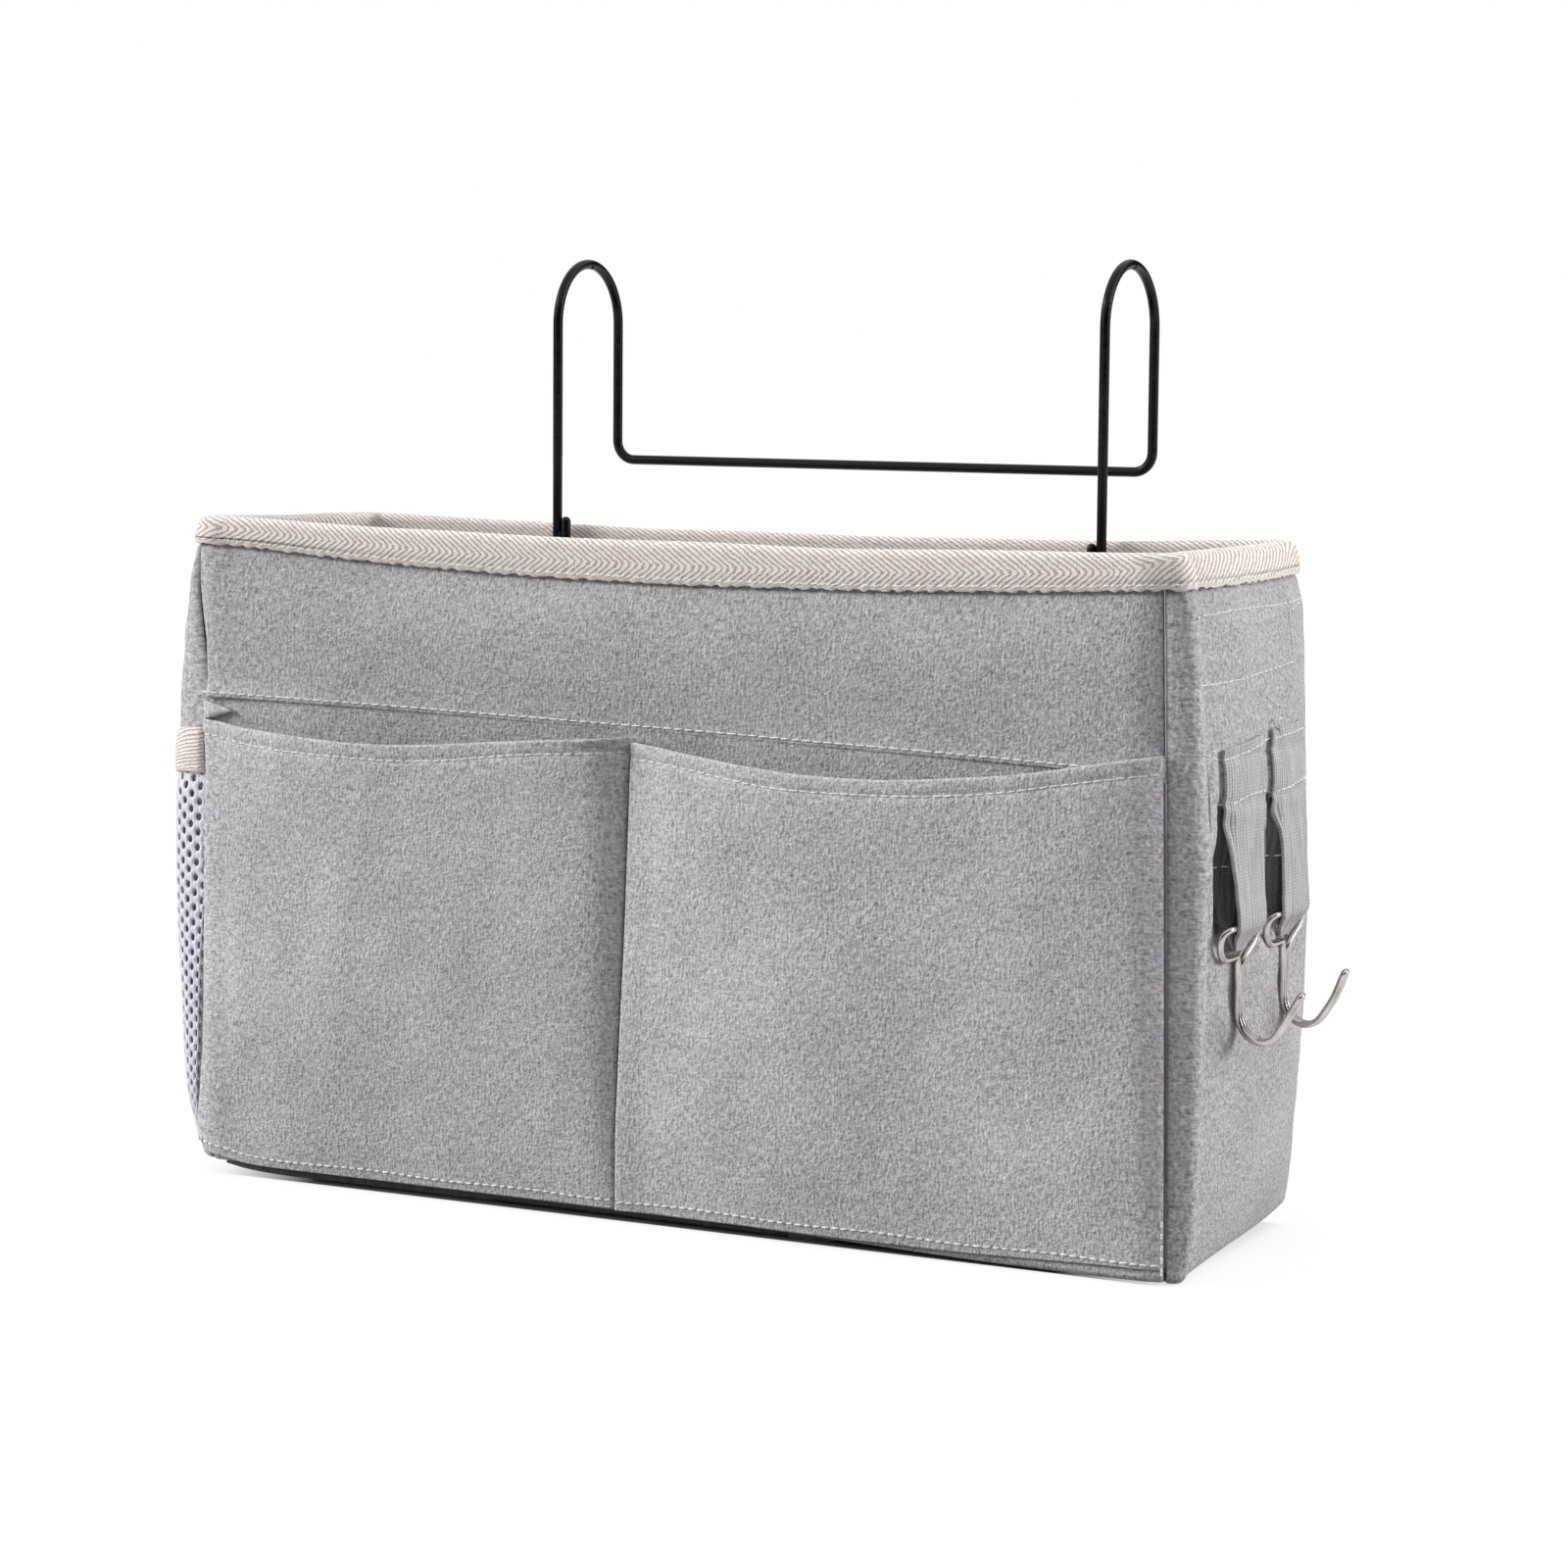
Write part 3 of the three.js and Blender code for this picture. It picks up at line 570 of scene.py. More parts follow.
# Stops between two places, close together at both ends where the cloth turns in
def stopsFor(start, end, step, roll):
    near = roll * np.array([0, 0.04, 0.14, 0.32, 0.6, 1, 1.6])
    count = max(3, int(round((end - start) / step)))
    middle = np.linspace(start + near[-1], end - near[-1], count)
    return np.concatenate([start + near[:-1], middle, (end - near[:-1])[::-1]])


def seamAt(walk):
    return 146 - 7 * ((walk + frontSeam) / (2 * frontSeam)) ** 2


def walkAt(fromFront):
    return sideStart + fromFront - bag["frontCorner"]


patchRow = {"front": 8.5, "back": 68, "top": 183, "bottom": 164, "thick": 0.9}
strap = {
    "width": 24,
    "thick": 1.0,
    "middles": [walkAt(29), walkAt(60)],
    "rowTop": 143.5,
    "row": 131,
    "hem": 113.4,
    "bar": 97,
    # The back layer's dark stretch is painted shade, not a dye
    "dark": (95.5, 130),  # the stretch of the back layer painted dark as shade behind the strap's front layer
    "tops": ((-0.8, 1.9), (2.6, 3.6)),  # what the cut end rises by at its left and right edge
    # to the front: where it is sewn, at its lower end, and its hook
    "shift": ((0.6, 2.4, 3.0), (1.6, 0.5, 0.5)),
}


# Folds of the walls: start, end, width and height
creases = [
    # left side, above the mesh pocket's band
    ((-172, 176), (-160, 138), 3.0, 0.9),
    ((-184, 168), (-166, 136), 2.6, 0.7),
    ((-178, 190), (-159, 160), 2.2, 0.5),
    ((-214, 182), (-232, 146), 4.0, 0.8),
    # right side, drawn in where the patch and the straps are sewn on
    ((walkAt(66), 160), (walkAt(52), 118), 5.0, 0.6),
    ((walkAt(13), 142), (walkAt(9), 112), 2.4, 1.1),
    ((walkAt(12), 112), (walkAt(15), 84), 4.0, 0.7),
    ((walkAt(74), 150), (walkAt(70), 96), 3.5, 0.7),
    ((walkAt(84), 92), (walkAt(84), 68), 26.0, 1.2),
    # back, above the base
    ((330, 8), (400, 34), 9.0, 0.8),
    ((-300, 6), (-372, 30), 8.0, 0.9),
]
# Rows of stitches pull the cloth in: z, then their ends' distances from the front
for z, near, far in (
    (patchRow["top"], patchRow["front"], patchRow["back"]),
    (patchRow["bottom"], patchRow["front"], patchRow["back"]),
    (strap["rowTop"], 7, 73),
    (strap["row"], 16, 73),
):
    creases.append(((walkAt(near), z), (walkAt(far), z), 1.3, -0.55))
# The wall is drawn in beside and under the straps, and behind the hooks' stems: the walk's
# distance from a strap's middle and z, reach along the walk and in height, and depth
dents = [
    [(-10.8, 104, 4.4, 14, 4.4), (-10.8, 123, 2.6, 8, 2.6), (-12.5, 139, 0.75, 7.5, 0.6)],
    [(-13.6, 104, 4.4, 14, 4.4), (-12.8, 123, 2.6, 8, 2.6), (-13.7, 140, 0.9, 9, 0.6)],
]
for dentsOfOne in dents:
    dentsOfOne.append((0, 85, 10, 15, 1.4))
belly = {"out": 2.7, "left": 24, "right": 21}  # of the front, between its seam and the tape


def dentAt(walk, z):
    total = 0.0
    for middle, spots in zip(strap["middles"], dents):
        for aside, height, wide, high, depth in spots:
            near = ((walk - middle - aside) / wide) ** 4 + ((z - height) / high) ** 4
            total = total + depth * np.exp(-near)
    return total


# How far the canvas stands off the plain outline, outwards
def proud(walk, z):
    walk, z = np.broadcast_arrays(wrapped(walk), np.asarray(z, float))
    out = swelling(walk, z, 5, 0.7, 45, 190) + swelling(walk, z, 8, 0.22, 9, 30)
    for crease in creases:
        out = out + fold(walk, z, *crease)
    along = np.abs(walk)
    front = np.where(walk < 0, leftSeam, frontSeam)
    seamNear = np.minimum(np.abs(along - front), np.abs(along - backSeam))
    ends = 1 - np.exp(-(walk + leftSeam) / belly["left"])
    ends = np.clip(ends * (1 - np.exp((walk - frontSeam) / belly["right"])), 0, 1)
    high = smooth(118, 168, z) * (1 - smooth(168, 191, z))
    out = out + np.where(along < front, belly["out"] * ends * high, 0)
    calm = smooth(0, 9, seamNear) * smooth(2, 16, z) * (1 - smooth(180, 190, z))
    ridge = 1.1 * hill(walk - frontSeam - 6.2, 2.6) * smooth(3, 12, z) * (1 - smooth(184, 190, z))
    pinched = 0.9 * hill(z - tapeLow(walk) + 0.3, 0.9)
    return np.maximum(out, -0.5) * calm + ridge - dentAt(walk, z) - pinched


walls = {
    "rise": 2.0,
    "seamGap": 0.2,
    "foldOut": 0.6,
    "foldReach": 6.0,
    "edgeRows": np.array([0.25, 0.9]),  # extra rows this far from a cut edge keep it crisp
    "tapeRows": np.array([-1.9, -1.3, -0.9, -0.6, -0.3, 0.0, 0.35, 0.8, 1.6]) * 1.3,
    "belowTape": 3.6,
}


def tapeTop(walk):
    return np.full_like(walk, wallTop)


# Grid over a stretch of wall: low and high may follow the walk
def wallGrid(start, end, low, high, step, extra):
    walks = stopsFor(start, end, step, bag["roll"])
    reach = np.max(high(walks) - low(walks))
    near, steps = walls["edgeRows"] / reach, walls["tapeRows"]
    shares = np.union1d(np.linspace(0, 1, int(round(reach / walls["rise"]))), near)
    if high is tapeTop:
        shares = np.concatenate([shares[:-5], np.zeros(len(steps)), [1.0]])
    else:
        shares = np.union1d(shares, 1 - near)
    walk = walks[:, None] * np.ones(len(shares))
    bottom = low(walk)
    z = bottom + (high(walk) - bottom) * shares
    if high is tapeTop:
        edge, gap = tapeLow(walk), -len(steps) - 1
        below = edge - walls["belowTape"] - bottom
        z[:, :gap] = (bottom + below * shares / shares[gap - 1])[:, :gap]
        z[:, gap:-1] = edge[:, gap:-1] + steps
    out = proud(walk, z) - turnIn(np.minimum(walk - start, end - walk), bag["roll"])
    if extra:
        out = out + extra(walk, z)
    return place(walk, z, -out), pair(walk, z)


# ---- Canvas walls


def level(height):
    return lambda walk: np.full_like(walk, height)


def frontFoot(walk):
    return 2.7 - 1.7 * smooth(20, 120, walk) - 1.6 * (1 - smooth(0, 9, walk + leftSeam))


# The upper front panel laps over the lower one and stands proud of it, most at the left end
def upperFold(walk, z):
    above = z - seamAt(walk)
    near = 1 - smooth(0, walls["foldReach"], above)
    wedge = 1.3 * np.exp(-(walk + leftSeam) / 12)
    share = 0.15 + 0.85 * smooth(10, 130, np.abs(walk))
    out = walls["foldOut"] * share + wedge * smooth(0, 2, walk + leftSeam)
    return out * near - turnIn(above, 0.5) * share


# Under the right pocket's end the wall's foot shows as a rolled strip
def lowerRoll(walk, z):
    return 1.3 * hill(z - 2.6, 1.5) * smooth(70, 140, walk)


# Start and end along the walk, lower and upper edge, what stands out more, and step
canvasWalls = {
    "front_lower": (-leftSeam, frontSeam, frontFoot, seamAt, lowerRoll, 2.6),
    "front_upper": (-leftSeam, frontSeam, seamAt, tapeTop, upperFold, 2.6),
    "right_side": (frontSeam, backSeam, level(0.5), tapeTop, None, 0.7),
    "left_side": (-backSeam, -leftSeam, level(foot), tapeTop, None, 2.0),
    "back": (backSeam, 2 * halfWalk - backSeam, level(foot), tapeTop, None, 2.6),
}


# Gives a piece its body, and hides the CAD nodes that it stands for
def dress(piece, body, slot, *nodes):
    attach(piece, body)
    if nodes:
        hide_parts(*nodes)


def addToBag(name, parts, material, slot, *nodes, weld=False):
    dress(addPiece(name, parts, material, weld), "bag", slot, *nodes)


for name, (start, end, low, high, extra, step) in canvasWalls.items():
    start, end = start + walls["seamGap"], end - walls["seamGap"]
    grid, cloth = wallGrid(start, end, low, high, step, extra)
    sheet = sheetOf(grid, bag["canvas"], cloth)
    addToBag(name + "_canvas", [sheet], canvas, "canvas", name + "_panel")


# Flat floor layer: rows run across between the two side walls
def floorSheet(z, thick, inset, step, short=0.0):
    turn, side = np.linspace(frontHalf, sideStart, 6), np.linspace(sideStart, sideEnd, 24)
    walks = np.concatenate([turn, side[1:], np.linspace(sideEnd, backStart, 5)[1:]])
    right, left = place(walks, foot, inset), place(-walks, foot, inset)
    shares = np.linspace(0, 1, int(bag["width"] / step))[:, None, None]
    grid = right + (left - right) * shares
    sag = swelling(grid[..., 0], grid[..., 1], 21, 0.2, 20, 90)
    edge = np.minimum(np.minimum(shares[..., 0], 1 - shares[..., 0]) * 20, 1)
    grid[..., 2] = z + sag * edge + liftAt(grid[..., 0], grid[..., 1])
    grid[..., 1] += short * (1 - smooth(-48, -20, grid[..., 1]))
    return sheetOf(grid, thick, grid[..., :2].copy())


base = {"inset": 3.4, "short": 8.0, "step": 4}
baseSheet = floorSheet(0.0, bag["canvas"], base["inset"], base["step"], base["short"])
addToBag("base_canvas", [baseSheet], canvas, "canvas", "base_panel")

# ---- Felt and lining inside the walls

inner = {
    "feltDepth": 1.1,
    "feltInset": 3.2,
    "feltFoot": 3.2,
    "liningDepth": 3.0,
    "liningGap": 0.1,
    "liningFoot": 3.8,
}
feltParts, liningParts = [], []
for start, end in (
    (-leftSeam, frontSeam),
    (frontSeam, backSeam),
    (-backSeam, -leftSeam),
    (backSeam, 2 * halfWalk - backSeam),
):
    inset, count = inner["feltInset"], max(8, int((end - start) / 6))
    walks = np.linspace(start + inset, end - inset, count)
    walk, z = np.meshgrid(walks, np.linspace(inner["feltFoot"], wallTop, 34), indexing="ij")
    grid = place(walk, z, inner["feltDepth"] + np.maximum(dentAt(wrapped(walk), z) - 0.2, 0))
    feltParts.append(sheetOf(grid, bag["felt"], pair(walk, z)))
    walks = stopsFor(start + inner["liningGap"], end - inner["liningGap"], 3.4, 0.6)
    walk, z = np.meshgrid(walks, np.linspace(inner["liningFoot"], wallTop, 66), indexing="ij")
    calm = smooth(0, 10, np.minimum(walk - start, end - walk)) * (1 - smooth(172, 186, z))
    slack = swelling(walk, z, 31, 1.6, 22, 110) + swelling(walk, z, 33, 0.5, 8, 22)
    held = np.where(np.abs(walk) > backSeam, 1 - smooth(165, 176, z), 1.0)
    slack = slack * calm * smooth(3, 20, z) * held + np.maximum(dentAt(wrapped(walk), z) - 0.2, 0)
    grid = place(walk, z, inner["liningDepth"] + bag["lining"] + slack)
    corners, faces, spots = sheetOf(grid, bag["lining"], pair(walk, z))
    back = gridNormals(grid, False).reshape(-1, 3) * bag["lining"]
    liningParts.append((corners + np.concatenate([back, back]), faces, spots))
feltParts.append(floorSheet(1.1, bag["felt"], 5.0, 6))
liningParts.append(floorSheet(3.0, bag["lining"], 3.3, 4))
sides = ["front", "left_side", "right_side", "back", "base"]
feltNodes, liningNodes = [[side + end for side in sides] for end in ("_interlining", "_lining")]
addToBag("felt_stiffeners", feltParts, felt, "felt", *feltNodes)
addToBag("bag_lining", liningParts, lining, "lining", *liningNodes)
print("walls, felt and lining made")

# ---- Tape over the rim

rim = {
    "rib": 2.3,
    "slant": 0.62,
    "sideRib": 2.9,
    "valley": 5.0,
    "sideValley": 15,
    "top": 2.5,
    "step": 0.9,
    "puff": 0.3,
    "ragged": 0.7,
}


# Section of tape folded over an edge, as (distance from its outer edge, outwards, z)
def foldedTape(low, top, outside, inside):
    leg, half = top - rim["top"] - low, (inside + outside) / 2
    rows = [(0.0, -0.3, 0.0), (0.25, 0.0, 0.1), (1.0, 0.1, 1.0), (1.6, 0.02, 1.6), (2.2, 0.08, 2.2)]
    rows = [(d, outside + o, low + z) for d, o, z in rows]
    for share in (0.32, 0.44, 0.56, 0.68, 0.8, 0.9, 1.0):
        out = outside + rim["puff"] * math.sin(math.pi * share)
        rows.append((leg * share, out, low + leg * share))
    reach = math.pi * (half + rim["top"]) / 2
    for share in np.linspace(0, 1, 12)[1:-1]:
        turn = math.pi * share
        out = outside - half + half * math.cos(turn)
        rows.append((leg + reach * share, out, top - rim["top"] + rim["top"] * math.sin(turn)))
    for share in (1.0, 0.85, 0.6, 0.35, 0.1, 0.0):
        rows.append((leg + reach + leg * (1 - share), -inside, low + leg * share))
    return np.array(rows)


walks = np.linspace(-halfWalk, halfWalk, int(2 * halfWalk / rim["step"]) + 1)
outerFace = bag["gap"] + bag["tape"]
inside = wallThick + outerFace
sections = np.array([foldedTape(low, bag["height"], outerFace, inside) for low in tapeLow(walks)])
walk = walks[:, None] * np.ones(sections.shape[1])
distance, out, z = np.moveaxis(sections, 2, 0)
pull = 0.14 * np.cos(2 * math.pi * walk / 3.5) * np.exp(-((distance - 1.6) ** 2) / 1.5)
points = place(walk, z, -(out + pull))
points[..., 2] += 0.14 * np.sin(walk / 13) * smooth(196, 200, z) - 0.2
ragged = swelling(walk, 0 * walk, 71, rim["ragged"], 2.0, 5.0) - rim["ragged"] / 2
points[..., 2] += ragged * (1 - smooth(0.2, 1.6, distance))
onRight = smooth(frontSeam - 14, sideStart + 22, walk)
onRight = onRight * (1 - smooth(sideEnd - 16, backStart + 16, walk))
ribWidth = rim["rib"] + (rim["sideRib"] - rim["rib"]) * onRight
count = np.cumsum(np.gradient(walks)[:, None] / ribWidth, axis=0)
valley = rim["valley"] + (rim["sideValley"] - rim["valley"]) * onRight
slant = rim["slant"] * np.abs(distance - valley)
fromEdge = np.minimum(distance, distance.max(axis=1, keepdims=True) - distance)
sheet = sheetOf(points, bag["tape"], pair(count + slant, fromEdge), around=True)
addToBag("rim_tape", [sheet], tape, "tape", "rim_binding", weld=True)

# ---- Front pockets

pockets = {
    "foot": 3.3,
    "hem": 4.7,
    "hemRound": 0.85,
    "edgeOut": 1.9,
    "edgeReach": 7,
    "mouth": {
        "left": [
            (0, 139.8), (0.1, 138.1), (0.2, 137.5), (0.32, 136.5), (0.45, 136.3), (0.58, 137.4),
            (0.71, 139.4), (0.81, 141.0), (1, 143.2),
        ],
        "right": [
            (0, 141.4), (0.18, 138.3), (0.29, 136.4), (0.41, 135.4), (0.52, 135.4), (0.745, 138.5),
            (0.875, 142.1), (1, 145.6),
        ],
    },
    "fullness": {
        "left": [
            (0, 0.5), (0.03, 2.6), (0.09, 5.6), (0.2, 8.6), (0.36, 10.0), (0.6, 10.2), (0.78, 9.7),
            (0.87, 9.0), (0.93, 8.0), (0.96, 6.6), (0.98, 4.4), (1, 0.5),
        ],
        "right": [
            (0, 0.7), (0.03, 3.0), (0.09, 6.8), (0.2, 9.6), (0.32, 10.3), (0.48, 10.3), (0.64, 9.7),
            (0.78, 8.7), (0.89, 7.0), (0.96, 4.2), (1, 0.4),
        ],
    },
    # z, then where along the walk the two pockets meet: the line leans to the left on its way down
    "divider": ((0, 27, 56, 84, 113, 138), (-12.2, -12.0, -10.6, -9.1, -8.0, -7.1)),
    # z, then how far past its end the left pocket starts: it reaches round the corner low down
    "edge": (
        (4, 9, 13, 17, 22, 30, 38, 60, 100, 135, 146),
        (0.6, -0.6, -1.2, -0.7, -0.2, 0.2, 0.6, 1.0, 2.2, 3.0, 3.2),
    ),
}


def divider(z):
    return np.interp(z, *pockets["divider"])


def tableAt(name, side, share, reach):
    spots = [np.clip(share + reach * s, 0, 1) for s in (-1, -0.5, 0, 0.5, 1)]
    return eased(pockets[name][side], spots)


def mouthAt(side, share):
    return tableAt("mouth", side, share, 0.05)


# How far a pocket's outer face stands off the bag's plain outline
def pocketOut(side, share, walk, z, mouth):
    rise = np.clip((z - foot) / (mouth - foot), 0, 1.02) ** 0.6
    off = bag["gap"] + tableAt("fullness", side, share, 0.01) * rise + bag["canvas"]
    seed = 41 if side == "left" else 47
    soft = swelling(walk, z, seed, 0.8, 40, 140) + swelling(walk, z, seed + 1, 0.25, 8, 26)
    off = off + (soft - 0.4) * smooth(0, 0.12, np.minimum(share, 1 - share)) * smooth(4, 24, z)
    off = off - 0.45 * hill(z - mouth + pockets["hem"], 0.9)
    if side == "right":
        off = off + pockets["edgeOut"] * hill(walk - divider(z), pockets["edgeReach"])
        return off + fold(walk, z, (40, 128), (58, 8), 16, 0.7)
    off = off + fold(walk, z, (-96, 120), (-120, 20), 18, 0.8)
    off = off + 0.8 * hill(walk + leftEnd, 5) * smooth(126, 138, z)
    low = bag["gap"] + bag["canvas"] + 0.3
    return low + (off - low) * (1 - smooth(0.9, 1, share) * smooth(138.6, 141.8, z))


def pocketStart(z):
    return -leftEnd + np.interp(z, *pockets["edge"])


# Near and far end of a pocket at a height: the left one's hem runs on behind the right one
def pocketSpan(side, z):
    if side == "left":
        return pocketStart(z), divider(z) - 1.3 + 7.5 * smooth(138.6, 141.8, z)
    return divider(z), np.full_like(z, frontSeam - 0.3)


def pocketGrid(side):
    left, bend = side == "left", pockets["hemRound"]
    shares = np.union1d(stopsFor(0.0, 1.0, 0.018, 0.009), np.linspace(0.93, 0.985, 14))[:, None]
    mouth = mouthAt(side, shares)
    bottom = pockets["foot"] + (0.1 * shares if left else 1.3 * smooth(0.6, 0.95, shares))
    rows = [0, 0.0015, 0.005, 0.01, *np.linspace(0.02, 0.93, 50), *np.linspace(0.94, 1, 12)]
    legs = [bottom + (mouth - bend - bottom) * share for share in rows]
    depths = [0.0] * len(rows)
    for turn in np.linspace(0, math.pi, 9)[1:]:
        legs.append(mouth - bend + bend * math.sin(turn))
        depths.append(bend * (1 - math.cos(turn)))
    for drop in (1.2, 2.6, 4.2, 5.8, 6.8):
        legs.append(mouth - bend - drop)
        depths.append(2 * bend)
    z, depth = np.concatenate(legs, axis=1), np.array(depths)
    near, far = pocketSpan(side, z)
    walk = near + (far - near) * shares
    off = pocketOut(side, shares, walk, np.minimum(z, mouth - bend), mouth)
    rollLeft, rollRight = (1.2, 1.0) if left else (1.0, 1.2)
    inLeft, inRight = turnIn(walk - near, rollLeft), turnIn(far - walk, rollRight)
    grid = place(walk, z, -(off - depth - inLeft * 0.9 - inRight * 0.9))
    return grid, pair(walk * (1.0 if left else 1.01) + 3, z + depth)


for side in ("left", "right"):
    grid, cloth = pocketGrid(side)
    sheet = sheetOf(grid, bag["canvas"] * 0.95, cloth)
    addToBag(side + "_front_pocket", [sheet], paintedLightCanvas, "canvas", side + "_pocket")

# Small folded end of cloth above the left pocket's corner
flap = {"low": 139.6, "high": 145.0, "reach": 8.6, "out": 2.6, "thick": 0.7}
shares, rows = np.meshgrid(np.linspace(0, 1, 14), np.linspace(-1, 1, 11), indexing="ij")
half = (flap["high"] - flap["low"]) / 2 * (1 - shares**1.2) + 0.25
walk = -leftEnd + 3.0 + flap["reach"] * shares
z = (flap["high"] + flap["low"]) / 2 + half * rows
bulge = 0.25 + 1.3 * shares - 0.6 * shares**2
out = flap["out"] * np.sqrt(np.maximum(0, 1 - rows**2 * 0.8)) * bulge + 0.5
sheet = sheetOf(place(walk, z, -out), flap["thick"], pair(walk, z))
addToBag("corner_flap", [sheet], paintedLightCanvas, "canvas")
print("tape and pockets made")

# ---- Mesh pocket on the left side

net = {
    "pitch": 4.7,
    "squeeze": 0.72,
    "hole": 0.6,
    "thick": 0.8,
    "yarn": 0.6,
    "bottom": 6,
    "top": 127,
    "belly": 5.4,
    "drawnIn": 4.3,
    "standOff": 0.8,
    "band": 134,
    "bandFold": 14,
}


# New tree of geometry nodes with these inputs, and the sockets that give them
def newTree(name, inputs):
    tree = bpy.data.node_groups.new(name, "GeometryNodeTree")
    face = tree.interface
    for label, kind, value in inputs:
        socket = face.new_socket(label, in_out="INPUT", socket_type="NodeSocket" + kind)
        if value is not None:
            socket.default_value = value
    face.new_socket("Mesh", in_out="OUTPUT", socket_type="NodeSocketGeometry")
    return tree, addNode(tree, "NodeGroupInput").outputs


# Real copies of a mesh at points
def copiesAt(tree, points, mesh, **links):
    links = {"Points": points, "Instance": mesh, **links}
    copies = socketOf(tree, "GeometryNodeInstanceOnPoints", "Instances", links)
    return socketOf(tree, "GeometryNodeRealizeInstances", "Geometry", {"Geometry": copies})


def closeTree(tree, mesh, material):
    links = {"Geometry": mesh, "Material": material}
    coloured = socketOf(tree, "GeometryNodeSetMaterial", "Geometry", links)
    addNode(tree, "NodeGroupOutput", links={"Mesh": coloured})
    return tree


# Tree that lays staggered copies of one cell, as knitted mesh does
def cellTree():
    tree, given = newTree("Staggered cells", (
        ("Cell", "Geometry", None),
        ("Columns", "Int", 21),
        ("Rows", "Int", 31),
        ("Pitch", "Float", 4.5),
        ("Row pitch", "Float", 3.9),
        ("Cloth", "Material", None),
    ))
    columns = given["Columns"]
    total = mathOf(tree, "MULTIPLY", columns, given["Rows"])
    line = socketOf(tree, "GeometryNodeMeshLine", "Mesh", {"Count": total})
    index = socketOf(tree, "GeometryNodeInputIndex", "Index")
    row = mathOf(tree, "FLOOR", mathOf(tree, "DIVIDE", index, columns))
    column = mathOf(tree, "MODULO", index, columns)
    shifted = mathOf(tree, "MULTIPLY_ADD", mathOf(tree, "MODULO", row, 2.0), 0.5, column)
    x = mathOf(tree, "MULTIPLY", shifted, given["Pitch"])
    y = mathOf(tree, "MULTIPLY", row, given["Row pitch"])
    spot = socketOf(tree, "ShaderNodeCombineXYZ", "Vector", {"X": x, "Y": y})
    links = {"Geometry": line, "Position": spot}
    spots = socketOf(tree, "GeometryNodeSetPosition", "Geometry", links)
    links = {"Geometry": copiesAt(tree, spots, given["Cell"]), "Distance": 0.02}
    joined = socketOf(tree, "GeometryNodeMergeByDistance", "Geometry", links)
    return closeTree(tree, joined, given["Cloth"])


# Tree that lays stitches of sewing thread along a line
def stitchTree():
    tree, given = newTree("Stitch row", (
        ("Line", "Geometry", None),
        ("Stitch pitch", "Float", 0.0035),
        ("Stitch length", "Float", 0.0028),
        ("Thread width", "Float", 0.0006),
        ("Unevenness", "Float", 0.1),
        ("Seed", "Int", 1),
        ("Thread", "Material", None),
    ))
    seed, width = given["Seed"], given["Thread width"]
    curve = socketOf(tree, "GeometryNodeMeshToCurve", "Curve", {"Mesh": given["Line"]})
    links = {"Curve": curve, "Length": given["Stitch pitch"]}
    spots = addNode(tree, "GeometryNodeCurveToPoints", {"mode": "LENGTH"}, links).outputs
    links = {0: (-1.0, -1.0, -1.0), 1: (1.0, 1.0, 1.0), "Seed": seed}
    stray = socketOf(tree, "FunctionNodeRandomValue", "Value", links, data_type="FLOAT_VECTOR")
    links = {"Vector": stray, "Scale": given["Unevenness"]}
    scaled = socketOf(tree, "ShaderNodeVectorMath", "Vector", links, operation="SCALE")
    links = {0: spots["Tangent"], 1: scaled}
    aim = socketOf(tree, "ShaderNodeVectorMath", "Vector", links, operation="ADD")
    links = {"Vector": aim}
    turn = socketOf(tree, "FunctionNodeAlignRotationToVector", "Rotation", links, axis="X")
    links = {2: 0.86, 3: 1.1, "Seed": seed}
    size = socketOf(tree, "FunctionNodeRandomValue", 1, links, data_type="FLOAT")
    links = {"X": given["Stitch length"], "Y": width, "Z": width}
    links = {"Vector": socketOf(tree, "ShaderNodeCombineXYZ", "Vector", links), "Scale": size}
    grown = socketOf(tree, "ShaderNodeVectorMath", "Vector", links, operation="SCALE")
    links = {"Segments": 10, "Rings": 7, "Radius": 0.5}
    grain = socketOf(tree, "GeometryNodeMeshUVSphere", "Mesh", links)
    real = copiesAt(tree, spots["Points"], grain, Rotation=turn, Scale=grown)
    even = socketOf(tree, "GeometryNodeSetShadeSmooth", "Geometry", {"Geometry": real})
    return closeTree(tree, even, given["Thread"])


# Runs a tree on an object and keeps the result as its plain mesh
def grow(piece, tree, values):
    modifier = piece.modifiers.new("grow", "NODES")
    modifier.node_group = tree
    for item in tree.interface.items_tree:
        if item.in_out == "INPUT" and item.name in values:
            modifier[item.identifier] = values[item.name]
    graph = bpy.context.evaluated_depsgraph_get()
    grown = piece.evaluated_get(graph)
    mesh = bpy.data.meshes.new_from_object(grown, preserve_all_data_layers=True, depsgraph=graph)
    piece.modifiers.clear()
    piece.data = mesh
    return mesh


# How far the net stands off the side
def netGap(walk, z):
    across = np.clip((-walk - leftEnd) / (backSeam - leftEnd), 0, 1)
    rise = np.sin(quarterTurn * np.minimum(1, np.clip((z - 9) / 125, 0, 1) * 3))
    belly = net["belly"] - net["drawnIn"] * smooth(50, 125, z)
    return net["standOff"] + belly * np.sin(math.pi * across) ** 2 * rise


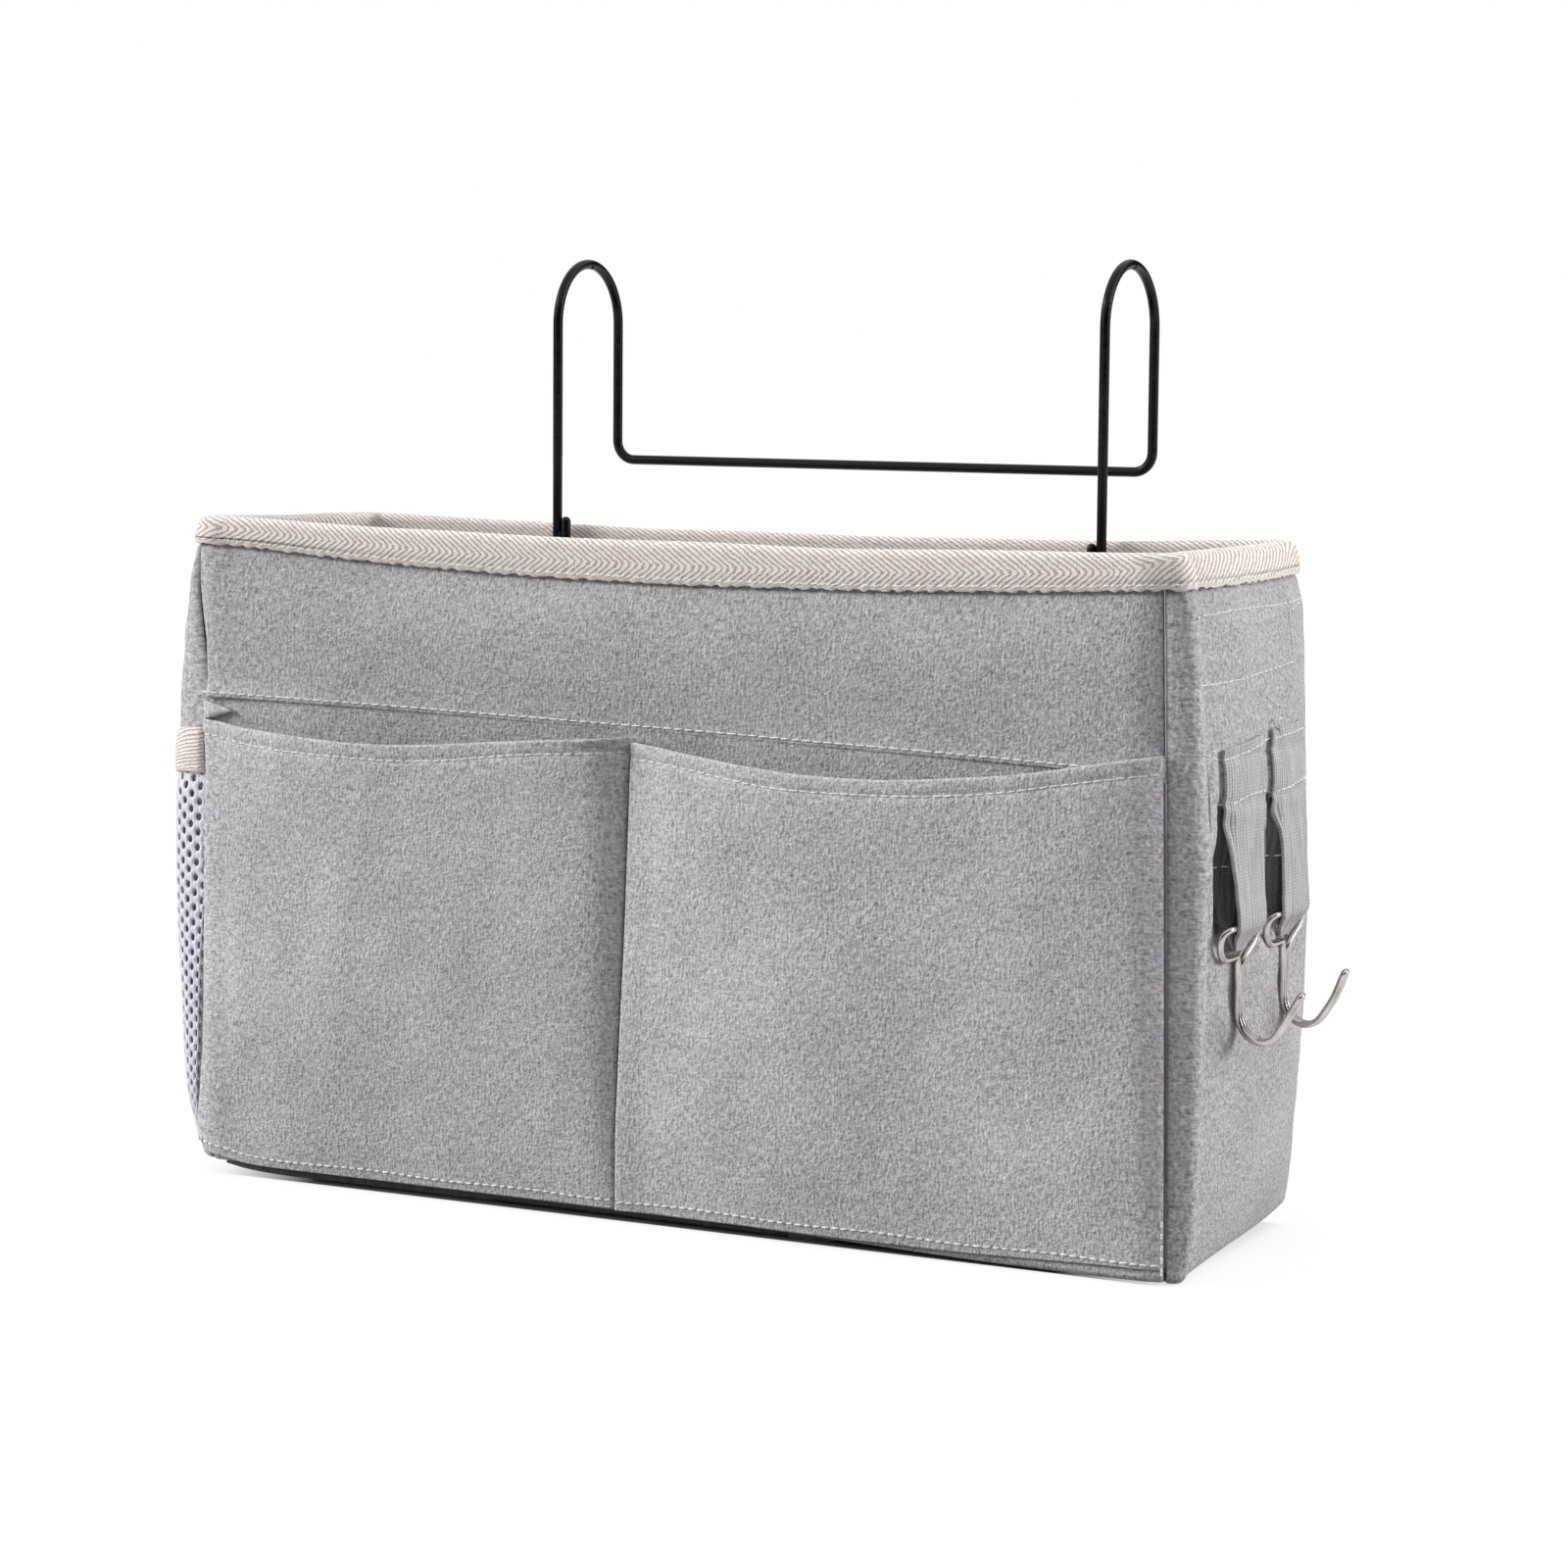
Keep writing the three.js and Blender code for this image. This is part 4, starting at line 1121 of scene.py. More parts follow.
# One cell: a ring between a six-sided edge and a rounded gap
def netCell():
    angles = np.arange(12) * math.pi / 6
    fromFlat = (angles + math.pi / 6) % (math.pi / 3) - math.pi / 6
    edge = net["pitch"] / 2 / np.cos(fromFlat)
    gap = net["pitch"] / 2 * net["hole"] * pair(np.cos(angles), 1.12 * np.sin(angles))
    rings = [pair(edge * np.cos(angles), edge * np.sin(angles)), gap * 1.3, gap * 1.06, gap]
    lift = [0.32, 0.2, 0.1, -0.12]
    corners = [(x, y, h) for ring, h in zip(rings, lift) for x, y in ring]
    faces = []
    for k in (0, 12, 24):
        for i in range(12):
            j = (i + 1) % 12
            faces.append((k + i, k + j, k + 12 + j, k + 12 + i))
    return corners, faces


corners, faces = netCell()
netPiece = newObject("side_pocket_net", corners, [], faces)
netStart, netEnd = -backSeam + 0.4, -leftEnd + 0.9
# Distance along the cloth for each place along the walk, as the pocket bellies out
walks = np.linspace(netStart, netEnd, 300)
clothRun = lengthAlong(place(walks, np.full(300, 85.0), -netGap(walks, 85.0)))
rowPitch = net["pitch"] * math.sqrt(0.75)
cells = {
    "Columns": int((net["top"] - net["bottom"]) / net["pitch"]) + 2,
    "Rows": int(round((clothRun[-1] + 2) / (rowPitch * net["squeeze"]))),
    "Pitch": net["pitch"],
    "Row pitch": rowPitch,
    "Cloth": meshKnit,
}
mesh = grow(netPiece, cellTree(), cells)
spots = np.empty(len(mesh.vertices) * 3)
mesh.vertices.foreach_get("co", spots)
across, away, off = spots.reshape(-1, 3)[:, [1, 0, 2]].T
walk = np.interp(across / across.max() * (clothRun[-1] + 2) - 1, clothRun, walks)
z = np.clip(net["bottom"] + away, net["bottom"], net["top"] + 1)
# The net ends a little short of the front pocket's edge, which moves with the height
ends = pocketStart(z) - 0.6
walk = netStart + (walk - netStart) * (ends - netStart) / (netEnd - netStart)
sway = 0.5 * np.sin(walk / 7 + z / 19) + 0.4 * np.sin(z / 11)
edge = np.minimum(walk - netStart, ends - walk)
calm = smooth(0, 8, edge)
drawn = (1 - smooth(net["bottom"], 22, z)) * 1.2
out = netGap(walk, z) + off + net["thick"] / 2 + sway * calm * 0.5 - drawn * calm
out = out - 0.5 * (1 - smooth(0, 2.5, edge)) - 0.9 * (1 - smooth(8, 26, z))
out = out - 0.7 * smooth(117, 122, z)
mesh.vertices.foreach_set("co", (place(walk, z, -out) * mm).ravel())
layCloth(mesh, pair(walk, z))
work = bmesh.new()
work.from_mesh(mesh)
bmesh.ops.dissolve_degenerate(work, dist=1e-5, edges=work.edges)
bmesh.ops.recalc_face_normals(work, faces=work.faces)
work.to_mesh(mesh)
work.free()
mesh.shade_smooth()
solid = netPiece.modifiers.new("yarn", "SOLIDIFY")
solid.thickness = net["yarn"] * mm
solid.offset = 0
dress(netPiece, "bag", "mesh", "mesh_pocket_net")

walks = np.linspace(-backSeam + 0.3, -leftEnd + 2.2, 60)
bandRows = []
for gap in netGap(walks, net["band"]):
    outside = gap + net["thick"] + 0.5
    bandRows.append(foldedTape(net["band"] - net["bandFold"], net["band"], outside, 0.5 - gap))
distance, out, z = np.moveaxis(np.array(bandRows), 2, 0)
walk = walks[:, None] * np.ones(z.shape[1])
edge = np.minimum(walk - walks[0], walks[-1] - walk)
points = place(walk, z, -(out - 0.6 * turnIn(edge, 1.2)))
ahead = 1 - smooth(2, 15, walks[-1] - walk)
up = smooth(118, 134, z)
points[..., 2] += (1 - up) * (0.9 + 2.3 * ahead) + up * (5.6 * ahead - 2.9)
sheet = sheetOf(points, bag["tape"], pair(distance / 1.15 - walk * 0.3, distance))
addToBag("side_pocket_tape", [sheet], tape, "tape", "mesh_pocket_binding")
print("mesh pocket made")

# ---- Straps on the right side


# Curve through points, evenly parted between each two
def through(points, steps):
    points = np.asarray(points, float)
    ends = [2 * points[0] - points[1], *points, 2 * points[-1] - points[-2]]
    made = []
    for p0, p1, p2, p3 in zip(ends, ends[1:], ends[2:], ends[3:]):
        second, third = 2 * p0 - 5 * p1 + 4 * p2 - p3, 3 * p1 - p0 - 3 * p2 + p3
        for t in np.arange(steps) / steps:
            made.append(0.5 * (2 * p1 + (p2 - p0) * t + second * t**2 + third * t**3))
    return np.array([*made, points[-1]])


# z, half width, share that follows the wall, distance off the wall, thickness, then how far the
# middle of the cloth lies from the hook's bar at its left and right edge, per strap
strapRoute = [
    (146.2, 11.2, 1.0, 0.35, 0.6, (0, 0), (0, 0)),
    (143.5, 11.2, 1.0, 0.30, 0.6, (0, 0), (0, 0)),
    (137.0, 11.2, 1.0, 0.40, 0.6, (0, 0), (0, 0)),
    (131.0, 11.2, 1.0, 0.30, 0.6, (0, 0), (0, 0)),
    (124.0, 11.6, 1.0, 0.45, 0.8, (0, 0), (0, 0)),
    (116.0, 12.5, 1.0, 0.50, 0.9, (0, 0), (0, 0)),
    (108.0, 12.5, 1.0, 0.50, 0.9, (0, 0), (0, 0)),
    (101.0, 12.0, 0.7, 0.55, 0.9, (-2.4, -2.2), (-2.4, -2.2)),
    (96.5, 10.6, 0.2, 0.6, 0.9, (-2.1, -2.0), (-2.1, -2.0)),
    (93.0, 7.6, 0.0, 0.6, 0.8, (-2.6, -2.6), (-2.6, -2.6)),
    (90.2, 4.6, 0.0, 0.6, 0.7, (-2.5, -2.5), (-2.5, -2.5)),
    (89.7, 4.4, 0.0, 0.6, 0.7, (-2.1, -2.1), (-2.1, -2.1)),
    (90.4, 5.0, 0.0, 0.6, 0.7, (-1.75, -1.75), (-1.75, -1.75)),
    (93.2, 7.8, 0.0, 0.6, 0.8, (-0.7, -0.8), (-0.7, -0.8)),
    (95.4, 9.6, 0.0, 0.6, 0.9, (0.7, 0.6), (0.7, 0.6)),
    (97.2, 10.4, 0.0, 0.6, 0.9, (1.3, 1.25), (1.3, 1.25)),
    (101.0, 10.6, 0.0, 0.6, 0.9, (1.1, 1.1), (1.2, 1.0)),
    (105.0, 10.7, 0.0, 0.6, 0.9, (0.5, 0.5), (1.2, 0.6)),
    (109.0, 10.7, 0.0, 0.9, 0.9, (0.0, 0.2), (1.0, 0.3)),
    (113.0, 10.8, 0.0, 0.9, 0.9, (-0.9, -0.15), (0.8, 0.0)),
    (117.0, 10.9, 0.0, 0.9, 0.9, (-1.6, -0.4), (0.4, -0.2)),
    (121.0, 11.1, 0.15, 0.9, 0.9, (-2.2, -0.7), (-0.2, -0.4)),
    (125.0, 11.5, 0.5, 0.9, 0.8, (-2.3, -1.0), (-1.3, -0.9)),
    (131.0, 12.0, 1.0, 0.8, 0.6, (0, 0), (0, 0)),
    (137.0, 12.0, 1.0, 0.9, 0.6, (0, 0), (0, 0)),
    (143.5, 12.0, 1.0, 0.8, 0.6, (0, 0), (0, 0)),
    (146.6, 12.0, 1.0, 0.8, 0.6, (0, 0), (0, 0)),
]
webbingCount = 25  # points across a strap


# Middle along the walk, hinge's x, bar's x and middle y of a strap
def strapPlaces(number):
    middle, half = strap["middles"][number - 1], strap["width"] / 2
    ends = np.linspace(middle - half, middle + half, 9)
    back = float(np.max(outline(ends, strap["bar"])[:, 0])) + bag["gap"]
    centres = outline(np.array([middle, middle]), np.array([strap["bar"], strap["row"]]))
    barX = back + strap["thick"] + 0.7 + bag["gap"]
    return middle, back + 1.3, barX, float(centres[:, 1].mean())


for number in (1, 2):
    middle, hinge, barX, middleY = strapPlaces(number)
    (leftTop, rightTop), (aside, forward, _) = [strap[k][number - 1] for k in ("tops", "shift")]
    path = through([row[:5] + row[4 + number] for row in strapRoute], 6)
    across = np.linspace(-1, 1, webbingCount)
    share = (across + 1) / 2
    z = path[:, :1] * np.ones(webbingCount)
    half, offWall, thick = path[:, 1:2] * 0.95, path[:, 3:4], path[:, 4:5] * np.ones(webbingCount)
    z = z + smooth(143, 146.4, z) * (leftTop * (1 - share) + rightTop * share)
    follow = np.clip(path[:, 2], 0, 1)[:, None, None]
    walk = middle + half * across - aside * smooth(120, 130, z)
    hung = 1 - smooth(92, 126, z)
    outer = np.arange(len(path))[:, None] > len(path) / 2
    bridged = np.where(outer, dentAt(walk, z) * smooth(125, 131, z), 0)
    onWall = place(walk, z, -(proud(walk, z) + offWall + bridged))
    rib = 0.08 * np.cos(across * 21)
    x = barX + path[:, 5:6] * (1 - share) + path[:, 6:7] * share + rib
    flat = np.stack([x, middleY + half * across - forward * (0.4 + 0.6 * hung), z], -1)
    centre = onWall * follow + flat * (1 - follow)
    centre[..., 0] = np.maximum(centre[..., 0], onWall[..., 0] - offWall * 0.3)
    length = lengthAlong(centre[:, webbingCount // 2])
    cloth = pair(half * across + 20 * number, length[:, None] * np.ones(webbingCount))
    sheet = sheetOf(centre + gridNormals(centre, False) * thick[..., None] / 2, thick, cloth)
    piece = addPiece(f"strap_{number}_webbing", [sheet], webbing)
    piece.data.materials.append(webbingShade)
    # Faces of the back layer between these heights take the darker webbing: painted shade for the
    # gap behind the front layer
    goingDown, low, high = len(length) // 2, *strap["dark"]
    heights = z[:goingDown, webbingCount // 2]
    dark = length[:goingDown][(heights < high) & (heights > low)]
    layer = piece.data.uv_layers["cloth"].data
    for face in piece.data.polygons:
        if dark[0] < layer[face.loop_start].uv[1] < dark[-1]:
            face.material_index = 1
    start, end = (hinge * mm, middleY * mm, 0.1325), (hinge * mm, middleY * mm, 0.1245)
    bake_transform(piece)
    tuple(start)
    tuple(end)
    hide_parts(f"strap_{number}_sewn_end", f"strap_{number}_loop")

# ---- Hooks of doubled wire

hook = {
    "wire": 1.95,
    "stem": 169.3,
    "strand": 0.95,  # half the distance between the two strands
    "tips": (77.9, 79.8),
    "tipReach": 18.2,
    "sides": 18,
    "step": 0.5,
    # from the stem's foot round to the tip, as (from the stem, z)
    "throat": (
        (0, 80.0), (-0.05, 76.0), (0.15, 71.6), (1.2, 68.2), (3.6, 65.6), (7.0, 64.5), (10.4, 65.7),
        (13.2, 69.4), (15.7, 73.6),
    ),
    # round the strap's loop down to the stem, as (from the bar, from the middle, z)
    "bail": (
        (0, 0, 97.0), (0, -5, 97.0), (0, -9.5, 97.0), (-0.3, -11.6, 96.9), (-1.6, -13.2, 95.7),
        (-2.4, -13.6, 93.0), (-2.5, -13.1, 90.3), (-2.2, -11.3, 88.6), (-1.9, -7.5, 88.3),
        (-1.8, -3.2, 88.4),
    ),
    "bailEnd": ((-0.3, 10.6, 95.2), (0, 11.6, 96.8), (0, 9.5, 97.05), (0, 5, 97.0), (0, 0.3, 97.0)),
}

for number in (1, 2):
    middle, _, barX, middleY = strapPlaces(number)
    stemX, strand, tip = hook["stem"], hook["strand"], hook["tips"][number - 1]
    bend = [(stemX + out, z) for out, z in (*hook["throat"], (hook["tipReach"], tip))]
    turnBack = []
    for t in (0.6, 0.0, -0.6):
        x = stemX + hook["tipReach"] + 0.42 * strand * math.cos(t)
        turnBack.append((x, middleY - strand * math.sin(t), tip + 0.75 * strand * math.cos(t)))
    route = [
        *[(barX + x, middleY + y, z) for x, y, z in hook["bail"]],
        (stemX - 0.2, middleY - 1.3, 87.2),
        (stemX - 0.25, middleY - strand, 84.5),
        *[(x, middleY - strand, z) for x, z in bend],
        *turnBack,
        *[(x, middleY + strand, z) for x, z in reversed(bend)],
        (stemX + 0.25, middleY + strand, 84.5),
        (stemX + 0.5, middleY + 1.5, 87.2),
        (stemX + 1.7, middleY + 6.3, 91.5),
        *[(barX + x, middleY + y, z) for x, y, z in hook["bailEnd"]],
    ]
    points = through(route, 8)
    length = lengthAlong(points)
    even = np.linspace(0, length[-1], int(length[-1] / hook["step"]))
    points = np.stack([np.interp(even, length, points[:, k]) for k in range(3)], -1)
    for _ in range(3):
        points[1:-1] = (points[:-2] + 2 * points[1:-1] + points[2:]) / 4
    points[:, 1] -= strap["shift"][number - 1][2]
    wire = wireOf(points, hook["wire"] / 2, hook["sides"])
    piece = addPiece(f"hook_{number}_wire", [wire], nickel)
    dress(piece, f"hook_{number}", "nickel_wire", f"hook_{number}")
print("straps and hooks made")

# ---- Wire hanger

hanger = {
    "wire": 3.0,
    "span": 185.7,
    "shift": 7,
    "reach": 38,
    "top": 279.5,
    "crossbar": 217.5,
    "bend": 6,
    "foot": 187,
    "play": 0.4,
    "bar": 183,
    "lapLeft": 199,
    "lapRight": 196,
    "bead": 0.75,
}


# Rounds each inner corner of a route of (point, bend)
def rounded(route, steps):
    points = [np.array(route[0][0], float)]
    for (before, _), (corner, bend), (after, _) in zip(route, route[1:], route[2:]):
        corner = np.array(corner, float)
        back, on = np.array(before, float) - corner, np.array(after, float) - corner
        back, on = back / np.linalg.norm(back), on / np.linalg.norm(on)
        opening = math.acos(max(-1, min(1, float(back @ on))))
        turn = math.pi - opening
        inwards = (back + on) / max(np.linalg.norm(back + on), 1e-9)
        centre = corner + inwards * bend / math.sin(opening / 2)
        arm = corner + back * bend / math.tan(opening / 2) - centre
        axis = np.cross(back, on)
        axis /= np.linalg.norm(axis)
        count = max(3, int(round(turn / quarterTurn * steps)))
        for k in range(count + 1):
            angle = -turn * k / count
            points.append(centre + arm * math.cos(angle) + np.cross(axis, arm) * math.sin(angle))
    return np.array([*points, route[-1][0]])


legY = bag["depth"] / 2 - wallThick - bag["gap"] - bag["tape"] - hanger["play"] - hanger["wire"] / 2
backY = legY + hanger["reach"]
leftX = hanger["shift"] - hanger["span"] / 2
rightX = hanger["shift"] + hanger["span"] / 2
arch = hanger["reach"] / 2 - 0.01
hookRoute = [
    ((leftX, legY, hanger["foot"]), 0),
    ((leftX, legY, hanger["top"]), arch),
    ((leftX, backY, hanger["top"]), arch),
    ((leftX, backY, hanger["crossbar"]), hanger["bend"]),
    ((rightX, backY, hanger["crossbar"]), hanger["bend"]),
    ((rightX, backY, hanger["top"]), arch),
    ((rightX, legY, hanger["top"]), arch),
    ((rightX, legY, hanger["foot"]), 0),
]
lapStep = hanger["wire"] + bag["gap"] / 4
frameRoute = [
    ((leftX + lapStep, legY, hanger["lapLeft"]), 0),
    ((leftX + lapStep, legY, hanger["bar"]), hanger["bend"]),
    ((rightX - lapStep, legY, hanger["bar"]), hanger["bend"]),
    ((rightX - lapStep, legY, hanger["lapRight"]), 0),
]
for name, route, node in (
    ("hanger_hooks", hookRoute, "hanger_hook_wire"),
    ("hanger_frame", frameRoute, "hanger_lower_frame"),
):
    piece = addPiece(name, [wireOf(rounded(route, 20), hanger["wire"] / 2, 24)], enamel)
    dress(piece, "hanger", "black_wire", node)

# Weld beads between the two wires at each lap
beads, bead = [], hanger["bead"]
for x, lap in ((leftX + lapStep / 2, "lapLeft"), (rightX - lapStep / 2, "lapRight")):
    for side in (-1, 1):
        line = [(x, legY + side * bead, hanger[lap] - 2 - 10 + k) for k in range(9)]
        beads.append(wireOf(line, bead, 10))
dress(addPiece("hanger_welds", beads, enamel), "hanger", "black_wire")

# ---- Fabric channel round the hanger's bar, and the patch inside the right wall

channel = {"from": halfWalk - 87.8, "to": halfWalk + 73.8, "room": 2.5, "thick": 0.6}
walks = np.linspace(channel["from"], channel["to"], 90)
seat = wallThick + bag["gap"] + 0.9
room = channel["room"] + 0.8
turns = np.linspace(-quarterTurn, quarterTurn, 15)
rows = [(math.cos(turn), room * math.sin(turn)) for turn in turns]
rows = [(0.0, -8.2), (0.0, -6), (0.02, -4.2), *rows, (0.02, 4.2), (0.0, 5.6)]
share, height = np.array(rows).T
walk = walks[:, None] * np.ones(len(share))
z = (hanger["bar"] + height) * np.ones_like(walk)
z = z - dipAt(walk) * smooth(110, 200, z)
reach = outline(walk, z)[..., 1] - (legY - channel["room"] - 0.8)
pucker = 0.25 * np.sin(walk / 3.1) + 0.2 * np.sin(walk / 7.7 + 1)
grid = place(walk, z, seat + (reach - seat + pucker) * share)[:, ::-1]
sheet = sheetOf(grid, channel["thick"], pair(walk, z)[:, ::-1])
addToBag("hanger_channel_cloth", [sheet], lining, "lining", "hanger_channel")

walks = np.linspace(walkAt(patchRow["front"]), walkAt(patchRow["back"]), 40)
heights = np.linspace(patchRow["bottom"] - 2, patchRow["top"] + 2, 18)
walk, z = np.meshgrid(walks, heights, indexing="ij")
seat = wallThick + bag["gap"] + 1.3 + swelling(walk, z, 61, 0.5, 8, 30)
sheet = sheetOf(place(walk, z, seat)[:, ::-1], patchRow["thick"], pair(walk, z)[:, ::-1])
addToBag("inner_patch", [sheet], webbing, "webbing", "inner_side_patch")
print("hanger, channel and patch made")

# ---- Rows of stitches

sewing = stitchTree()
unevenness = 0.07


# Rows of stitches along lines, with their pitch, length and width in millimetres
def sew(name, lines, nodes, seed, pitch, length, width):
    corners, edges = [], []
    for line in lines:
        base = len(corners)
        corners += [tuple(float(c) * mm for c in spot) for spot in line]
        edges += [(base + i, base + i + 1) for i in range(len(line) - 1)]
    piece = newObject(name, corners, edges, [])
    values = {
        "Stitch pitch": pitch * mm,
        "Stitch length": length * mm,
        "Thread width": width * mm,
        "Unevenness": unevenness,
        "Seed": seed,
        "Thread": thread,
    }
    grow(piece, sewing, values)
    dress(piece, "bag", "thread", *nodes)


walks = np.linspace(-halfWalk, halfWalk, 500)
line = place(walks, tapeLow(walks) + 1.25, -(outerFace - 0.02))
sew("rim_stitches", [line], ["rim_stitching"], 3, 3.3, 2.1, 0.5)

walks = np.linspace(-leftSeam + 1.4, frontSeam - 1.5, 300)
z = seamAt(walks) + 1.5
line = place(walks, z, -(proud(walks, z) + upperFold(walks, z) + 0.12))
sew("front_seam_stitches", [line], ["front_seam_stitching"], 4, 3.4, 3.2, 0.5)

for side, seed in (("left", 11), ("right", 14)):
    shares = np.linspace(0.012, 0.988, 160)
    mouth = mouthAt(side, shares)
    for part, z in (("hem", mouth - pockets["hem"]), ("base", np.full(160, 6.0))):
        near, far = pocketSpan(side, z)
        walks = near + (far - near) * shares
        off = pocketOut(side, shares, walks, z, mouth)
        lines = [place(walks, z + 0.25 * np.sin(walks / 9), -(off + 0.16))]
        if side == "right" and part == "base":
            lines.append(place(frontSeam - 0.7, np.linspace(4, 17, 12), -1.4))
        size = (3.1, 2.95, 0.46) if part == "hem" else (2.9, 2.3, 0.62)
        seed += 1
        name = f"{side}_pocket_{part}_stitch"
        sew(name + "es", lines, [name + "ing"], seed, *size)

walks = np.linspace(-backSeam + 2, -leftEnd + 0.6, 60)
z = np.full(60, net["band"] - net["bandFold"] + 1.5)
line = place(walks, z, -(netGap(walks, z) + net["thick"] + 0.55))
line[:, 2] += 0.9 + 2.3 * (1 - smooth(0, 13, walks[-1] - walks))
sew("side_pocket_tape_stitches", [line], ["mesh_binding_stitching"], 21, 3.2, 2.2, 0.5)


# Line of thread over places (distance from the front, z) on the right wall
def wallRow(*spots):
    route = through([(walkAt(y), z) for y, z in spots], 16)
    return place(route[:, 0], route[:, 1], -(proud(route[:, 0], route[:, 1]) + 0.12))


patchWalks = np.linspace(walkAt(patchRow["front"]), walkAt(patchRow["back"]), 50)
patchLines = {
    "top": [
        wallRow((8.5, 182.2), (30, 183.2), (62, 183.0), (85.5, 183.6)),
        wallRow((71, 181.4), (78, 182.4), (85, 184.6)),
    ],
    "bottom": [
        wallRow((11.5, 163.7), (32, 164.4), (50, 165.6), (65.5, 166.4)),
        wallRow((66.5, 166.6), (67.4, 172), (67.2, 178), (67.8, 182.6)),
    ],
}
for part, seed in (("top", 31), ("bottom", 32)):
    back = place(patchWalks, patchRow[part], wallThick + bag["gap"] + 1.4)
    name = f"patch_{part}_stitch"
    sew(name + "es", [*patchLines[part], back], [name + "ing"], seed, 3.2, 3.3, 0.42)

# Rows across the straps climb onto each strap and drop back to the wall between them
strapRows = {
    "upper": [
        (11.5, 144.6), (17, 143.2), (29, 144.4), (41, 146.2), (48, 146.6), (60, 147.2), (72, 147.8),
    ],
    "lower": [
        (17, 130.9), (20, 130.6), (29, 132.4), (41, 132.6), (48, 131.6), (60, 132.6), (73, 133.4),
    ],
}
hems = []
for middle in strap["middles"]:
    walks = np.linspace(middle - 11.5, middle - 5.5, 12)
    hems.append(place(walks, strap["hem"], -(proud(walks, strap["hem"]) + 1.1)))
for part, seed in (("upper", 35), ("lower", 36)):
    walks, z = through([(walkAt(y), z) for y, z in strapRows[part]], 24).T
    on = np.zeros(len(walks))
    for middle in strap["middles"]:
        on = np.maximum(on, 1 - smooth(11.8, 12.4, np.abs(walks - middle)))
    line = place(walks, z, -(proud(walks, z) + 0.15 + 1.05 * on))
    lines, name = [line, *(hems if part == "lower" else [])], f"strap_{part}_stitch"
    sew(name + "es", lines, [name + "ing"], seed, 3.0, 3.2, 0.45)

walks = np.linspace(channel["from"] + 1, channel["to"] - 1, 90)
lines = []
for step in (-6.6, 4.9):
    z = hanger["bar"] + step - dipAt(walks)
    lines.append(place(walks, z, wallThick + bag["gap"] + 1.0))
sew("channel_stitches", lines, [], 41, 3.6, 2.8, 0.5)

# A slack loop of thread at the top of the second strap, as (from its middle, z, outwards)
second = strap["middles"][1]
slack = [(-8.5, 148.8, 1.6), (-10.4, 149.8, 2.4), (-11.2, 151.4, 2.6), (-9.6, 152.3, 2.4)]
slack = through([*slack, (-8.2, 151.0, 2.2)], 8)
line = place(second + slack[:, 0], slack[:, 1], -slack[:, 2])
drop = place(second - 8.2 + 0.1 * np.arange(8), np.linspace(150.8, 147.2, 8), -2.2)
strands = [wireOf(line, 0.27, 8), wireOf(drop, 0.25, 8)]
addToBag("slack_thread", strands, thread, "thread")
print("stitches sewn")
# ---- Floor, light and camera

studio = {
    "floor": "#898989",
    "floorZ": -1.0,
    "floorHalf": 6,
    "floorGlow": 0.78,
    # Where the floor's glow is cut, as painted shade under and beside the bag
    "shadeUnderBag": {"X": (2.0, 158.0, 34.0), "Y": (0.0, 46.5, 0.7)},  # middle, reach and fade
    "skyLow": 0.23,
    "skyHigh": 0.8,
    "softness": 28,
    "lamps": {"left_lamp": (3.1, (-0.85, -0.38, 0.4)), "right_lamp": (2.45, (0.85, 0.45, 0.3))},
}
white = (1, 1, 1, 1)


# 1 where a ray comes from the camera, a mirror or glass, and 0 where it carries light
def seenRay(tree):
    rays = addNode(tree, "ShaderNodeLightPath").outputs
    seen = mathOf(tree, "MAXIMUM", rays["Is Camera Ray"], rays["Is Glossy Ray"])
    return mathOf(tree, "MAXIMUM", seen, rays["Is Transmission Ray"])


half, z = studio["floorHalf"], studio["floorZ"] * mm
corners = [(-half, -half, z), (half, -half, z), (half, half, z), (-half, half, z)]
floorPiece = newObject("studio_floor", corners, [], [(0, 1, 2, 3)])
material, tree = newMaterial("Painted studio floor, matt")
seen = seenRay(tree)
# No glow under the bag, and a glow that fades in over its ends: painted shade on the floor there,
# which then shows only its lit paint
parts = axesOf(tree, objectPlace(tree))
past = []
for axis, (middle, reach, fade) in studio["shadeUnderBag"].items():
    away = mathOf(tree, "ABSOLUTE", mathOf(tree, "SUBTRACT", parts[axis], middle * mm))
    past.append(rangeOf(tree, away, (reach - fade) * mm, reach * mm))
glow = mathOf(tree, "MULTIPLY", seen, mathOf(tree, "MAXIMUM", *past))
glow = mathOf(tree, "MULTIPLY", glow, studio["floorGlow"])
paint = socketOf(tree, "ShaderNodeBsdfDiffuse", "BSDF", {"Color": linear(studio["floor"])})
light = socketOf(tree, "ShaderNodeEmission", "Emission", {"Color": white, "Strength": glow})
both = socketOf(tree, "ShaderNodeAddShader", "Shader", {0: paint, 1: light})
addNode(tree, "ShaderNodeOutputMaterial", links={"Surface": both})
floorPiece.data.materials.append(material)

# The sky is white where it is seen or mirrored; what lights the bag grows brighter overhead
world = bpy.data.worlds.new("Studio sky")
bpy.context.scene.world = world
world.use_nodes = True
tree = world.node_tree
tree.nodes.clear()
seen = seenRay(tree)
facing = socketOf(tree, "ShaderNodeTexCoord", "Generated")
overhead = mathOf(tree, "MAXIMUM", axesOf(tree, facing)["Z"], 0.0)
strength = mathOf(tree, "MULTIPLY_ADD", overhead, studio["skyHigh"], studio["skyLow"])
skies = [
    socketOf(tree, "ShaderNodeBackground", "Background", {"Color": white, "Strength": value})
    for value in (strength, 1.0)
]
sky = socketOf(tree, "ShaderNodeMixShader", "Shader", {0: seen, 1: skies[0], 2: skies[1]})
addNode(tree, "ShaderNodeOutputWorld", links={"Surface": sky})

